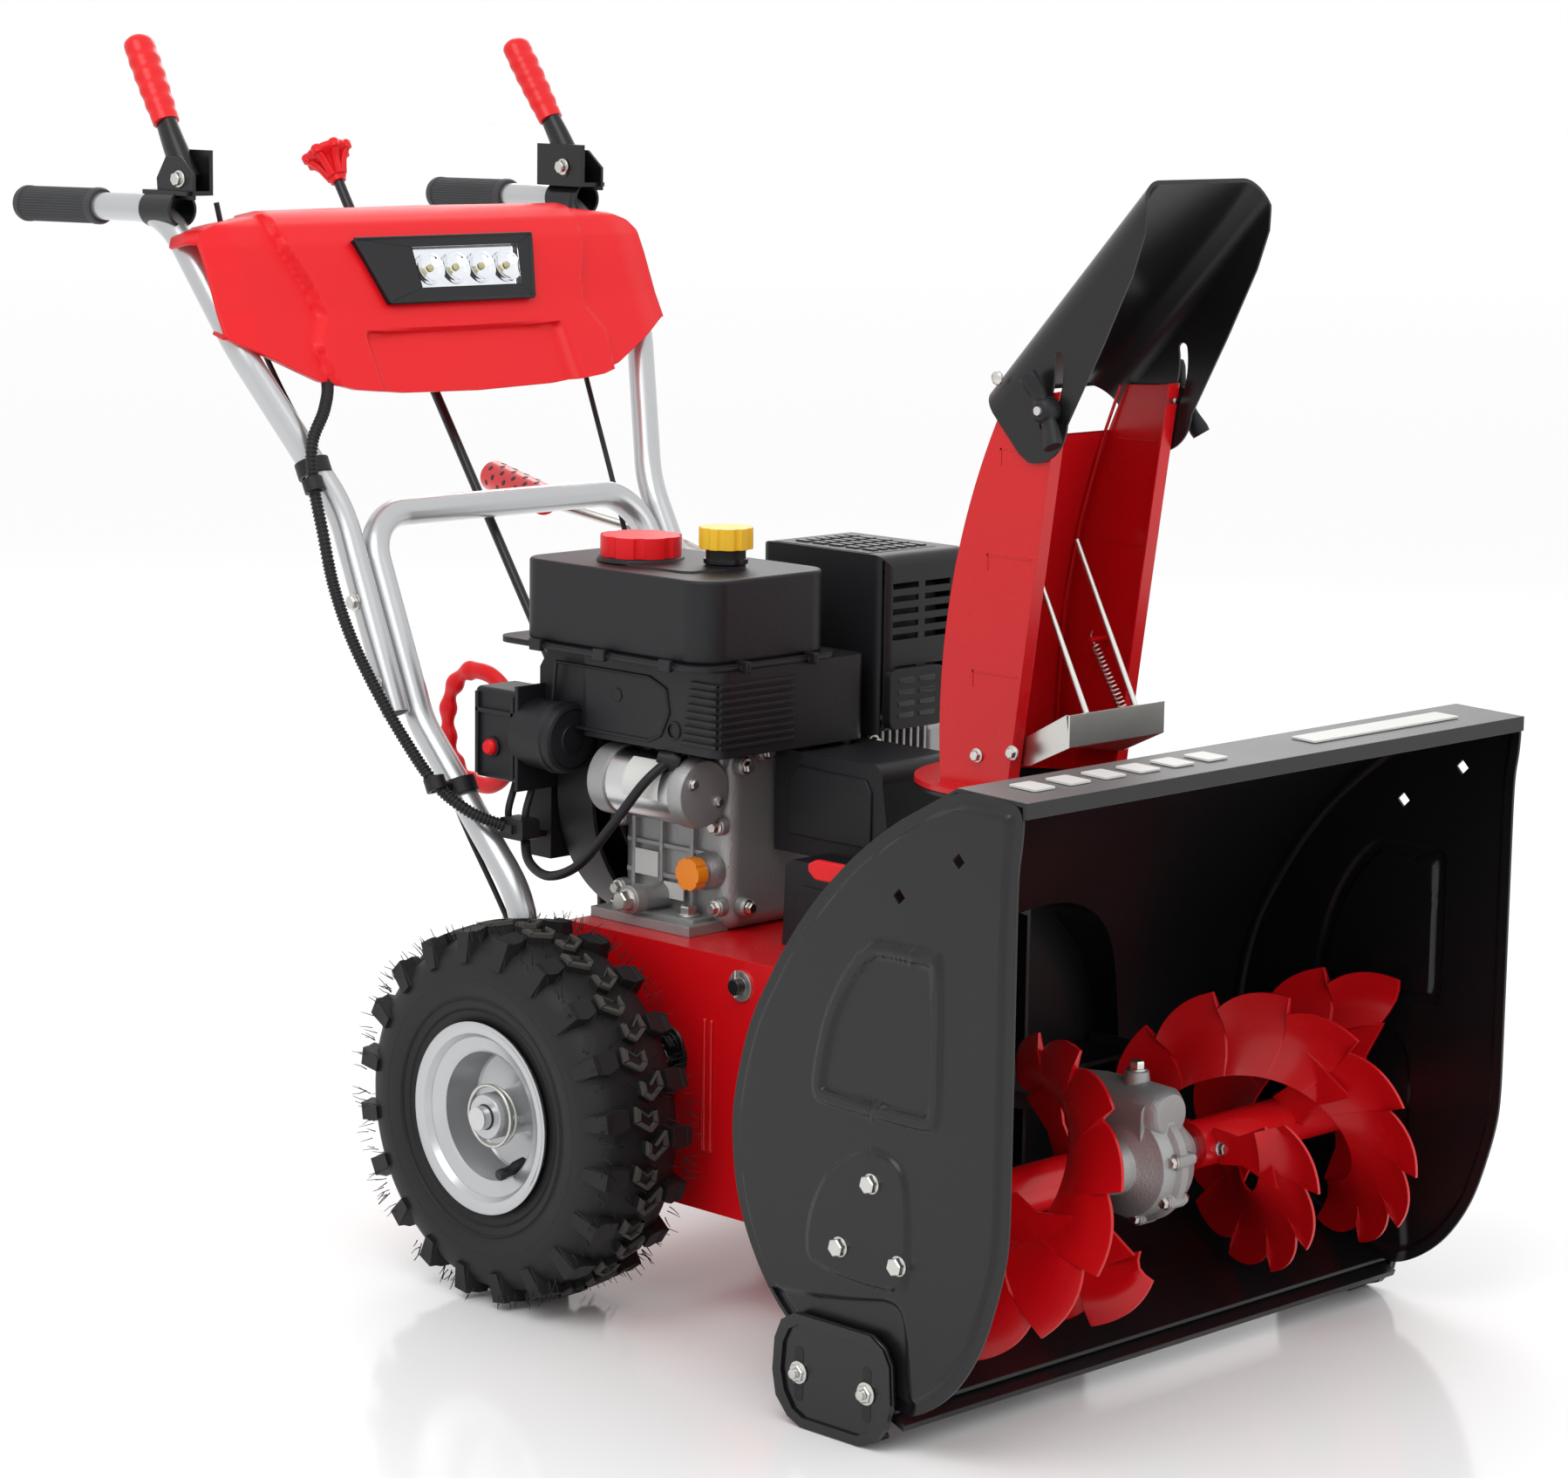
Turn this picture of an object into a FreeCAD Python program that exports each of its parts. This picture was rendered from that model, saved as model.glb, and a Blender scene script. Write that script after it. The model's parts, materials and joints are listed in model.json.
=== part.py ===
"""Two stage snowblower: a parametric assembly of separate pieces, in millimetres.

Machine frame: +Z up, the auger housing opens towards -Y, the operator stands at +Y and the
machine's right side is -X. Y is counted from the side plates' front edge while the pieces are
made, and every piece is written with the middle of the machine's length at Y = 0.
"""
import FreeCAD, Part
import math
import os
import re
from FreeCAD import Placement, Rotation, Vector

# Driving dimensions: alias -> (value in mm, meaning)
SIZES = {
    "half_width": (310, "half of the clearing width, over the side plates"),
    "rail_top": (517, "height of the top rail's front edge"),
    "sheet_gauge": (3, "sheet thickness of the housing and frame"),
    "auger_y": (136, "auger axis, back from the housing's front edge"),
    "auger_z": (169, "auger axis height"),
    "auger_radius": (118, "outer radius of the flights"),
    "flight_inner": (72, "inner radius of the flight ribbon"),
    "flight_gauge": (4, "thickness of the flight ribbon"),
    "flight_pitch": (260, "length of one full turn of a flight ribbon"),
    "flight_turns": (0.86, "turns in each flight ribbon"),
    "shaft_radius": (12.5, "auger shaft radius"),
    "flight_tube_radius": (20, "outer radius of the tubes that carry the flights"),
    "impeller_z": (212, "impeller axis height"),
    "impeller_radius": (145, "impeller tip radius"),
    "tunnel_radius": (151, "inner radius of the impeller housing"),
    "tunnel_front": (150, "front end of the impeller housing's drum"),
    "tunnel_back": (318, "rear face of the impeller housing"),
    "impeller_shaft_radius": (10, "impeller shaft radius"),
    "chute_y": (260, "chute axis, back from the housing's front edge"),
    "chute_ring_z": (462, "height of the chute neck's top ring"),
    "neck_radius": (69, "inner radius of the chute neck"),
    "ring_radius": (96, "outer radius of the chute ring"),
    "chute_half": (73, "half of the chute's outer width"),
    "chute_gauge": (2, "chute sheet thickness"),
    "frame_half": (158, "half of the frame's outer width"),
    "frame_front": (321, "front end of the frame"),
    "frame_back": (705, "rear end of the frame sides"),
    "pan_back": (648, "rear end of the engine pan"),
    "frame_base": (86, "bottom of the frame"),
    "pan_top": (308, "top of the engine pan"),
    "axle_y": (612, "axle position, back from the housing's front edge"),
    "axle_z": (162, "axle height, equal to the tyre's radius"),
    "axle_radius": (10, "axle radius"),
    "tyre_radius": (162, "tyre radius over the lugs"),
    "tyre_inner_x": (186, "distance of the tyre's inner wall from the middle plane"),
    "tyre_width": (108, "tyre width"),
    "rim_radius": (81, "rim flange radius"),
    "hex_y": (518, "friction wheel shaft position"),
    "hex_z": (212, "friction wheel shaft height"),
    "crank_z": (412, "engine crankshaft height"),
    "crank_shaft_radius": (12, "crankshaft radius"),
    "handle_radius": (12.5, "handle tube radius"),
    "grip_radius": (17, "grip radius"),
    "grip_length": (146, "grip length"),
    "skid_width": (126, "skid shoe length along the machine"),
    "skid_top": (92, "skid shoe height"),
    "chute_bore": (66, "inner radius of the turning chute ring"),
    "mid_length": (645, "middle of the machine's overall length"),
}

doc = FreeCAD.newDocument("two_stage_snowblower")
sheet = doc.addObject("Spreadsheet::Sheet", "Sizes")
for row, (alias, (value, meaning)) in enumerate(SIZES.items(), start=1):
    sheet.set(f"A{row}", meaning)
    sheet.set(f"B{row}", str(value))
    sheet.setAlias(f"B{row}", alias)
doc.recompute()

X = Vector(1, 0, 0)
Y = Vector(0, 1, 0)
Z = Vector(0, 0, 1)
RIGHT = -1
LEFT = 1
BODY_GAP = 0.5
nodes = {}


def size(alias):
    """A driving dimension, read from the sheet."""
    return float(sheet.get(alias))


def bind(item, prop, formula):
    """Tie a property to a formula of the sheet's aliases."""
    text = re.sub(r"[a-z_]{3,}", lambda m: "Sizes." + m.group(0) if m.group(0) in SIZES else m.group(0),
                  str(formula))
    item.setExpression(prop, text)


def place(item, at, turn=None):
    """Place an item at three formulas, with an optional rotation."""
    item.Placement = Placement(Vector(), turn or Rotation())
    for axis, formula in zip("xyz", at):
        bind(item, f"Placement.Base.{axis}", formula)


def node(name, item):
    """Register an item as one sub-part of the machine."""
    item.Label = name
    nodes[name] = item
    return item


def along(axis):
    """The rotation that turns +Z onto an axis."""
    return Rotation(Z, axis)


def box(name, at, lengths):
    item = doc.addObject("Part::Box", name)
    for prop, formula in zip(("Length", "Width", "Height"), lengths):
        bind(item, prop, formula)
    place(item, at)
    return item


def bar(name, at, axis, radius, length):
    """A round bar from a point along an axis."""
    item = doc.addObject("Part::Cylinder", name)
    bind(item, "Radius", radius)
    bind(item, "Height", length)
    place(item, at, along(axis))
    return item


def fuse(name, *items):
    item = doc.addObject("Part::MultiFuse", name)
    item.Shapes = list(items)
    return item


def cut(name, base, *tools):
    item = doc.addObject("Part::Cut", name)
    item.Base = base
    item.Tool = tools[0] if len(tools) == 1 else fuse(name + "_tools", *tools)
    return item


def group(name, *items):
    """Separate solids that share one node."""
    item = doc.addObject("Part::Compound", name)
    item.Links = list(items)
    return item


def mirrored(name, item):
    """The same piece on the machine's other side."""
    copy = doc.addObject("Part::Mirroring", name)
    copy.Source = item
    copy.Normal = X
    copy.Base = Vector()
    return copy


def rounded(name, base, radius, axes="xyz"):
    """A copy of a box with its edges along the named axes rounded."""
    doc.recompute()
    wanted = [dict(x=X, y=Y, z=Z)[axis] for axis in axes]
    chosen = []
    for index, edge in enumerate(base.Shape.Edges, start=1):
        run = (edge.Vertexes[-1].Point - edge.Vertexes[0].Point).normalize()
        if any(abs(run.dot(axis)) > 0.999 for axis in wanted):
            chosen.append((index, radius, radius))
    item = doc.addObject("Part::Fillet", name)
    item.Base = base
    item.Edges = chosen
    return item


def solid(name, shape):
    """A piece whose shape is worked out with Part's own functions."""
    item = doc.addObject("Part::Feature", name)
    item.Shape = shape
    return item


def origin_plane(body, role):
    return next(plane for plane in body.Origin.OriginFeatures if plane.Role == role)


def sketch(body, name, role, offset="0"):
    """A sketch on one of a body's own origin planes, moved along the plane's normal."""
    item = body.newObject("Sketcher::SketchObject", name)
    item.AttachmentSupport = (origin_plane(body, role), [""])
    item.MapMode = "FlatFace"
    bind(item, "AttachmentOffset.Base.z", offset)
    return item


def outline(item, start, steps):
    """Draw a closed outline: each step is an end point, or a middle and an end point of an arc."""
    here = Vector(*start)
    for step in steps + [start]:
        if isinstance(step[0], tuple):
            middle, end = Vector(*step[0]), Vector(*step[1])
            item.addGeometry(Part.Arc(here, middle, end))
        else:
            end = Vector(*step)
            if (end - here).Length < 1e-6:
                continue
            item.addGeometry(Part.LineSegment(here, end))
        here = end


def pad(name, role, offset, start, steps, depth, both_ways=False):
    """A PartDesign body: one outline padded along its plane's normal."""
    body = doc.addObject("PartDesign::Body", name)
    profile = sketch(body, name + "_outline", role, offset)
    outline(profile, start, steps)
    feature = body.newObject("PartDesign::Pad", name + "_pad")
    feature.Profile = profile
    feature.SideType = "Symmetric" if both_ways else "One side"
    bind(feature, "Length", depth)
    profile.Visibility = False
    return body


def lathe(name, at, axis, start, steps):
    """A PartDesign body turned about a line: the outline's points are (along, radius)."""
    body = doc.addObject("PartDesign::Body", name)
    profile = sketch(body, name + "_outline", "XY_Plane")
    outline(profile, start, steps)
    feature = body.newObject("PartDesign::Revolution", name + "_turn")
    feature.Profile = profile
    feature.ReferenceAxis = (profile, ["H_Axis"])
    feature.Angle = 360
    place(body, at, Rotation(X, axis))
    return body


def tube_path(points, radii):
    """Straight runs joined by tangent arcs of the given radii."""
    corners = [Vector(*point) for point in points]
    edges = []
    here = corners[0]
    for before, corner, after, radius in zip(corners, corners[1:], corners[2:], radii):
        arrive = (corner - before).normalize()
        leave = (after - corner).normalize()
        half_turn = arrive.getAngle(leave) / 2
        back = radius * math.tan(half_turn)
        first = corner - arrive * back
        last = corner + leave * back
        inward = (leave - arrive).normalize()
        middle = corner + inward * (radius / math.cos(half_turn) - radius)
        edges.append(Part.LineSegment(here, first).toShape())
        edges.append(Part.Arc(first, middle, last).toShape())
        here = last
    edges.append(Part.LineSegment(here, corners[-1]).toShape())
    return Part.Wire(edges)


def tube(points, radii, radius, inner=0):
    """A round tube along a path of runs and arcs."""
    path = tube_path(points, radii)
    start = Vector(*points[0])
    heading = (Vector(*points[1]) - start).normalize()
    skin = Part.Wire(Part.Circle(start, heading, radius).toShape())
    shape = path.makePipeShell([skin], True, False)
    if inner:
        bore = Part.Wire(Part.Circle(start, heading, inner).toShape())
        shape = shape.cut(path.makePipeShell([bore], True, False))
    return shape


def arc_radii(points):
    """Arcs as large as the runs beside them allow."""
    corners = [Vector(*point) for point in points]
    radii = []
    for before, corner, after in zip(corners, corners[1:], corners[2:]):
        half_turn = (corner - before).getAngle(after - corner) / 2
        shorter = min((corner - before).Length, (after - corner).Length)
        radii.append(0.45 * shorter / math.tan(half_turn))
    return radii


def cable(name, points, radius):
    """A cable along a hand-made route; prints its tightest bend and checks its volume."""
    radii = arc_radii(points)
    shape = tube(points, radii, radius)
    length = tube_path(points, radii).Length
    ratio = shape.Volume / (math.pi * radius ** 2 * length)
    print(f"{name}: length {length:.0f} mm, tightest bend {min(radii):.0f} mm, volume ratio {ratio:.3f}")
    return shape


def hex_bolt(at, axis, across=13, head=6, washer=9, shank=0, shank_radius=4):
    """A flanged hexagon head standing on a surface, with an optional shank behind it."""
    spot = Vector(*at)
    turn = along(axis)
    flange = Part.makeCylinder(washer, 1.6, spot, axis)
    hexagon = Part.Face(Part.makePolygon([
        Vector(across / math.sqrt(3) * math.cos(math.radians(60 * side)),
               across / math.sqrt(3) * math.sin(math.radians(60 * side)), 0) for side in range(7)]))
    hexagon.Placement = Placement(spot + axis * 1.6, turn)
    body = flange.fuse(hexagon.extrude(axis * head))
    if shank:
        body = body.fuse(Part.makeCylinder(shank_radius, shank, spot, -axis))
    return body.removeSplitter()


# ---------------------------------------------------------------- auger housing

def housing_steps(inset):
    """The housing's side view from the top of the rail round the drum to the scraper.

    The outline leans back from the rail, swells to its rearmost point behind the auger and
    curls forward under it. A positive inset moves it towards the auger's axis."""
    centre = Vector(size("auger_y"), size("auger_z"))

    def moved(y, z):
        point = Vector(y, z)
        point = point - (point - centre).normalize() * inset
        return (point.x, point.y)
    start = moved(62, 519)
    steps = [moved(117, 488.5),
             (moved(215, 402), moved(274, 302)),
             (moved(290, 235), moved(277, 147)),
             (moved(247, 97), moved(204, 62)),
             moved(112, 30)]
    return start, steps


def housing_side(side):
    """One side plate: the housing's outline with a straight front edge, drilled for the bearing."""
    start, steps = housing_steps(-3)
    body = pad(f"side_plate_{side}", "YZ_Plane", "-half_width",
               (-4, size("rail_top")), [start] + steps + [((36, 81), (0.5, 177))], "sheet_gauge")
    bore = body.newObject("Sketcher::SketchObject", f"side_bore_{side}")
    bore.AttachmentSupport = (origin_plane(body, "YZ_Plane"), [""])
    bore.MapMode = "FlatFace"
    bind(bore, "AttachmentOffset.Base.z", "-half_width")
    bore.addGeometry(Part.Circle(Vector(size("auger_y"), size("auger_z")), Z, size("shaft_radius") + 8))
    for y, z in ((55, 466), (114, 431)):
        corner = 6
        points = [Vector(y - corner, z), Vector(y, z + corner), Vector(y + corner, z), Vector(y, z - corner)]
        for first, last in zip(points, points[1:] + points[:1]):
            bore.addGeometry(Part.LineSegment(first, last))
    pocket = body.newObject("PartDesign::Pocket", f"side_holes_{side}")
    pocket.Profile = bore
    pocket.Reversed = True
    bind(pocket, "Length", "2*sheet_gauge")
    body.Tip = pocket
    return body


def auger_housing():
    """Drum shell with its top rail, side plates, impeller housing and scraper bar."""
    outer_start, outer_steps = housing_steps(0)
    inner_start, inner_steps = housing_steps(size("sheet_gauge"))
    flat = [step[1] if isinstance(step[0], tuple) else step for step in inner_steps]
    middles = [step[0] if isinstance(step[0], tuple) else None for step in inner_steps]
    backwards = [flat[-1]]
    ends = [inner_start] + flat
    for index in range(len(flat) - 1, -1, -1):
        backwards.append((middles[index], ends[index]) if middles[index] else ends[index])
    rail = size("rail_top")
    shell = pad("drum", "YZ_Plane", "0", (-6, rail), [outer_start] + outer_steps + backwards
                + [(-3, rail - 3), (-3, rail - 12), (-6, rail - 12)], "2*(half_width-sheet_gauge)", True)
    opening = bar("tunnel_bore", ("0", "tunnel_front", "impeller_z"), Y, "tunnel_radius", "200")
    node("housing_shell", cut("housing_shell", shell, opening))

    right = housing_side("right")
    node("housing_sides", group("housing_sides", right, mirrored("side_plate_left", right)))

    inside = pad("housing_space", "YZ_Plane", "0", (-80, rail + 60), [(62, rail + 60), outer_start]
                 + outer_steps + [(-80, 30)], "2*half_width", True)
    drum_length = "tunnel_back-tunnel_front"
    outer = fuse("impeller_outer",
                 bar("drum_outer", ("0", "tunnel_front", "impeller_z"), Y, "tunnel_radius+sheet_gauge", drum_length),
                 bar("neck_outer", ("0", "chute_y", "impeller_z-sheet_gauge"), Z, "neck_radius+sheet_gauge",
                     "chute_ring_z-impeller_z+sheet_gauge"),
                 bar("neck_flange", ("0", "chute_y", "chute_ring_z-sheet_gauge"), Z, "ring_radius", "sheet_gauge"))
    hollow = fuse("impeller_hollow",
                  bar("drum_inner", ("0", "tunnel_front-10", "impeller_z"), Y, "tunnel_radius",
                      drum_length + "+10-sheet_gauge"),
                  bar("neck_inner", ("0", "chute_y", "impeller_z"), Z, "neck_radius", "chute_ring_z"),
                  bar("shaft_bore", ("0", "tunnel_front", "impeller_z"), Y, "impeller_shaft_radius+0.05", "400"))
    node("impeller_housing", cut("impeller_housing", outer, hollow, inside))

    node("scraper_bar", pad("scraper_bar", "YZ_Plane", "0", (104, 18), [(150, 37), (148, 42), (102, 23)],
                            "2*(half_width-sheet_gauge)-1", True))


def auger_bearings():
    """A flanged bearing on each side plate, with a raised hub round the shaft."""
    profile_start = (0, size("shaft_radius") + 0.05)
    hub = [(0, 52), (4, 52), (6, 46), (6, 26), (12, 24), (12, size("shaft_radius") + 0.05)]
    right = lathe("bearing_right", ("-half_width", "auger_y", "auger_z"), -X, profile_start, hub)
    node("auger_bearings", group("auger_bearings", right, mirrored("bearing_left", right)))


def skid_shoe(side, name):
    """A wear shoe: upright plate with two height slots, and a runner turned under the housing."""
    face = "-half_width-5.5" if side == RIGHT else "half_width+0.5"
    middle = 170
    half = size("skid_width") / 2
    plate = pad(f"{name}_plate", "YZ_Plane", face, (middle - half, 26),
                [(middle - half + 22, 84), ((middle - half + 30, 90), (middle - half + 40, size("skid_top"))),
                 (middle + half - 40, size("skid_top")), ((middle + half - 30, 90), (middle + half - 22, 84)),
                 (middle + half, 26), ((middle + half - 10, 8), (middle + half - 34, 0)),
                 (middle - half + 34, 0), ((middle - half + 10, 8), (middle - half, 26))], "5")
    slots = []
    for index, y in enumerate((134, 206)):
        slot = box(f"{name}_slot_{index}", (f"{face}-1", f"{y}-4.5", "20"), ("7", "9", "44"))
        slots.append(rounded(f"{name}_slot_round_{index}", slot, 4.4, "x"))
    inward = "-half_width-0.5" if side == RIGHT else "half_width+0.5-24"
    runner = box(f"{name}_runner", (inward, f"{middle}-{half - 34}", "0"), ("24", f"{2 * (half - 34)}", "5"))
    node(name, fuse(name, cut(f"{name}_slotted", plate, *slots), runner))


# ---------------------------------------------------------------- auger, gearbox and impeller

def flight(side):
    """Two helical ribbons half a turn apart, each tied by three arms to the tube they share."""
    inner, outer = size("flight_inner"), size("auger_radius")
    gauge = size("flight_gauge")
    pitch, turns = size("flight_pitch"), size("flight_turns")
    start_x = 66.0
    start_angle = 250 if side == LEFT else -46
    tube_radius = size("flight_tube_radius")
    helix = Part.makeHelix(pitch, pitch * turns, (inner + outer) / 2)
    profile = Part.makePolygon([Vector(inner, 0, 0), Vector(outer, 0, 0), Vector(outer, 0, gauge),
                                Vector(inner, 0, gauge), Vector(inner, 0, 0)])
    ribbon = Part.Wire(helix.Edges).makePipeShell([profile], True, True)
    pieces = []
    for half_turn in (0, 180):
        blade = ribbon.copy()
        blade.rotate(Vector(), Z, start_angle + half_turn)
        pieces.append(blade)
        for turn in (0.05, turns / 2, turns - 0.05):
            arm = Part.makeBox(inner + 12 - tube_radius + 4, 26, gauge, Vector(tube_radius - 4, -13, 0))
            arm.rotate(Vector(), Z, 360 * turn + start_angle + half_turn)
            arm.translate(Vector(0, 0, pitch * turn - 0.5))
            pieces.append(arm)
    core = Part.makeCylinder(tube_radius, pitch * turns + 6, Vector(0, 0, -3))
    shape = core.fuse(pieces)
    shape = shape.cut(Part.makeCylinder(size("shaft_radius") + 0.1, 400, Vector(0, 0, -20)))
    shape = shape.cut(Part.makeCylinder(4.05, 80, Vector(0, -40, 14), Y))
    if side == RIGHT:
        shape = shape.mirror(Vector(), Y)
    shape.rotate(Vector(), Y, 90 * side)
    shape.translate(Vector(side * start_x, size("auger_y"), size("auger_z")))
    return shape


def auger_assembly():
    """Shaft with worm wheel and shear pins, and the two flights."""
    shaft = bar("auger_rod", ("-half_width-16", "auger_y", "auger_z"), X, "shaft_radius", "2*half_width+32")
    wheel = lathe("worm_wheel", ("-11", "auger_y", "auger_z"), X, (0, size("shaft_radius")),
                  [(0, 30), (4, 31), (18, 31), (22, 30), (22, size("shaft_radius"))])
    pins = []
    for side in (RIGHT, LEFT):
        pin = Part.makeCylinder(4, 56, Vector(side * 80, size("auger_y") - 28, size("auger_z")), Y)
        pins.append(solid(f"shear_pin_{side}", pin))
    node("auger_shaft", group("auger_shaft", shaft, wheel, *pins))
    node("auger_flights", group("auger_flights", solid("flight_right", flight(RIGHT)),
                                solid("flight_left", flight(LEFT))))


def gearbox():
    """Cast gearbox: a wheel chamber on the auger axis and a worm chamber above it, in two halves."""
    auger_y, auger_z, worm_z = size("auger_y"), size("auger_z"), size("impeller_z")
    outer = Part.makeCylinder(40, 52, Vector(-26, auger_y, auger_z), X)
    outer = outer.fuse([Part.makeCylinder(22, 96, Vector(-48, auger_y, auger_z), X),
                        Part.makeCylinder(23, 120, Vector(0, auger_y - 50, worm_z), Y),
                        Part.makeBox(46, 62, 44, Vector(-23, auger_y - 31, auger_z))])
    inner = Part.makeCylinder(33, 30, Vector(-15, auger_y, auger_z), X)
    inner = inner.fuse([Part.makeCylinder(size("shaft_radius") + 0.05, 200, Vector(-100, auger_y, auger_z), X),
                        Part.makeCylinder(14, 92, Vector(0, auger_y - 38, worm_z), Y),
                        Part.makeCylinder(size("impeller_shaft_radius") + 0.05, 200,
                                          Vector(0, auger_y, worm_z), Y)])
    shell = outer.cut(inner)
    flange = Part.makeBox(8, 118, 118, Vector(-4, auger_y - 60, auger_z - 45))
    flange = flange.common(Part.makeCylinder(48, 8, Vector(-4, auger_y, auger_z), X)).cut(
        Part.makeCylinder(39, 10, Vector(-5, auger_y, auger_z), X)).cut(inner)
    shell = shell.fuse(flange).removeSplitter()
    split = 400
    halves = []
    for side in (RIGHT, LEFT):
        edge = -split if side == RIGHT else 0
        half = shell.common(Part.makeBox(split, split, split, Vector(edge, auger_y - 200, 0)))
        halves.append(solid(f"gearbox_half_{side}", half))
    node("gearbox_housing", group("gearbox_housing", *halves))


def impeller_assembly():
    """Four-bladed impeller on the shaft that carries the worm in front and the pulley behind."""
    blades = doc.addObject("PartDesign::Body", "impeller")
    hub = sketch(blades, "impeller_hub", "XZ_Plane")
    hub.addGeometry(Part.Circle(Vector(), Z, 24))
    hub.addGeometry(Part.Circle(Vector(), Z, size("impeller_shaft_radius")))
    hub_pad = blades.newObject("PartDesign::Pad", "impeller_hub_pad")
    hub_pad.Profile = hub
    hub_pad.SideType = "Symmetric"
    hub_pad.Length = 52
    blade = sketch(blades, "impeller_blade", "XZ_Plane")
    reach = size("impeller_radius")
    outline(blade, (20, -2), [(reach, -2), (reach, 10), (reach - 3, 10), (reach - 6, 2), (20, 2)])
    blade_pad = blades.newObject("PartDesign::Pad", "impeller_blade_pad")
    blade_pad.Profile = blade
    blade_pad.SideType = "Symmetric"
    blade_pad.Length = 52
    doc.recompute()
    pattern = blades.newObject("PartDesign::PolarPattern", "impeller_blades")
    pattern.Originals = [blade_pad]
    pattern.Axis = (hub, ["N_Axis"])
    pattern.Angle = 360
    pattern.Occurrences = 4
    blades.Tip = pattern
    place(blades, ("0", "285", "impeller_z"))
    node("impeller", blades)
    radius = size("impeller_shaft_radius")
    start = (0, 0)
    steps = [(0, radius), (18, radius), (18, 11.6), (58, 11.6), (58, radius), (286, radius), (286, 48), (289, 52),
             (293, 40), (299, 40), (303, 52), (306, 48), (306, radius), (308, radius), (308, 0)]
    node("impeller_shaft", lathe("impeller_shaft", ("0", "auger_y-29", "impeller_z"), Y, start, steps))


# ---------------------------------------------------------------- chute

def chute_side():
    """Side view of the chute: straight at the base, leaning forward towards the top."""
    ring = size("chute_ring_z") + 5
    start = (222, ring)
    steps = [((205, 590), (176, 790)), (200, 787), (229.5, 785.5), ((283, 640), (294, ring))]
    return start, steps


def chute():
    """U-shaped chute, open to the front, with folded lips and a base ring that turns on the neck."""
    start, steps = chute_side()
    outer = pad("chute_outer", "YZ_Plane", "0", start, steps, "2*chute_half", True)
    ring = size("chute_ring_z")
    inner = pad("chute_inner", "YZ_Plane", "0", (190, ring), [((175, 620), (140, 815)), (216, 815),
                ((280.5, 640), (291.8, ring))], "2*(chute_half-chute_gauge)", True)
    walls = cut("chute_walls", outer, inner)
    lips = []
    for index, low in enumerate(("-chute_half", "chute_half-13")):
        lip = pad(f"chute_lip_{index}", "YZ_Plane", low, start, [((205, 590), (176, 790)), (178, 790),
                  ((207, 590), (224, ring + 5))], "13")
        lips.append(lip)
    base = cut("chute_base",
               bar("chute_disc", ("0", "chute_y", "chute_ring_z+0.5"), Z, "ring_radius", "4.5"),
               bar("chute_hole", ("0", "chute_y", "chute_ring_z"), Z, "chute_bore", "20"))
    pins = [bar(f"guard_pin_{index}", (low, "254", "493"), X, "3", "23") for index, low in enumerate(("-77", "54"))]
    hook = bar("spring_hook", ("46", "241", "577"), X, "2.5", "26")
    body = fuse("chute_body", walls, base, hook, *lips, *pins)
    node("chute", cut("chute", body, bar("hood_bolt_hole", ("-100", "181", "776"), X, "3.5", "200")))


def deflector_hood():
    """Bent-sheet hood over the chute's top: a leaning back sheet and two side sheets with slots."""
    half = size("chute_half") + 3.5
    side_steps = [(100, 956), (91, 935), (92, 915), (103, 884), (131, 828), (165, 765),
                  ((184, 736), (204, 733)), (214, 739)]
    outer = pad("hood_outer", "YZ_Plane", "0", (259, 786), side_steps, f"{2 * half}", True)
    inner = pad("hood_inner", "YZ_Plane", "0", (256, 786), [(98.5, 953), (60, 953), (60, 700), (256, 700)],
                f"{2 * (half - 2)}", True)
    bevel = rounded_back("hood_outer_round", outer, 26)
    bevel_inner = rounded_back("hood_inner_round", inner, 24)
    shape = cut("hood_sheet", bevel, bevel_inner)
    node("deflector_hood", cut("deflector_hood", shape, *hood_slot()))


def hood_slot():
    """The curved slots in the hood's sides, an arc about the hood's hinge, as cutting pieces."""
    reach = math.hypot(244 - 181, 806 - 776)
    sector = []
    for index, radius in enumerate((reach + 4.5, reach - 4.5)):
        wedge = doc.addObject("Part::Cylinder", f"hood_slot_sector_{index}")
        wedge.Radius = radius
        wedge.Height = 200
        wedge.Angle = 47
        wedge.Placement = Placement(Vector(-100, 244, 806), along(X) * Rotation(Z, -99.5))
        sector.append(wedge)
    ends = []
    for index, angle in enumerate((-99.5, -52.5)):
        turn = math.radians(angle)
        ends.append(bar(f"hood_slot_end_{index}", ("-100", f"{244 + reach * math.sin(turn)}",
                        f"{806 - reach * math.cos(turn)}"), X, "4.5", "200"))
    return [cut("hood_slot_arc", *sector)] + ends


def rounded_back(name, base, radius):
    """Round the two long edges of the hood's back sheet."""
    doc.recompute()
    chosen = []
    for index, edge in enumerate(base.Shape.Edges, start=1):
        ends = [vertex.Point for vertex in edge.Vertexes]
        if len(ends) == 2 and min(point.z for point in ends) > 780 and abs(ends[0].z - ends[1].z) > 150:
            chosen.append((index, radius, radius))
    item = doc.addObject("Part::Fillet", name)
    item.Base = base
    item.Edges = chosen
    return item


def wing_knob(side, name):
    """A two-winged knob on a carriage bolt through the hood's slot."""
    face = side * (size("chute_half") + 4.2)
    axis = X * side
    hub = Part.makeCylinder(11, 16, Vector(face, 181, 776), axis)
    wing = Part.makeBox(12, 52, 9, Vector(-6, -26, -4.5))
    wing = wing.makeFillet(4, wing.Edges)
    wing.rotate(Vector(), X, 55)
    wing.translate(Vector(face + side * 14, 181, 776))
    stem = Part.makeCylinder(3.4, 14, Vector(face, 181, 776), -axis)
    node(name, solid(name, hub.fuse([wing, stem]).removeSplitter()))


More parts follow.
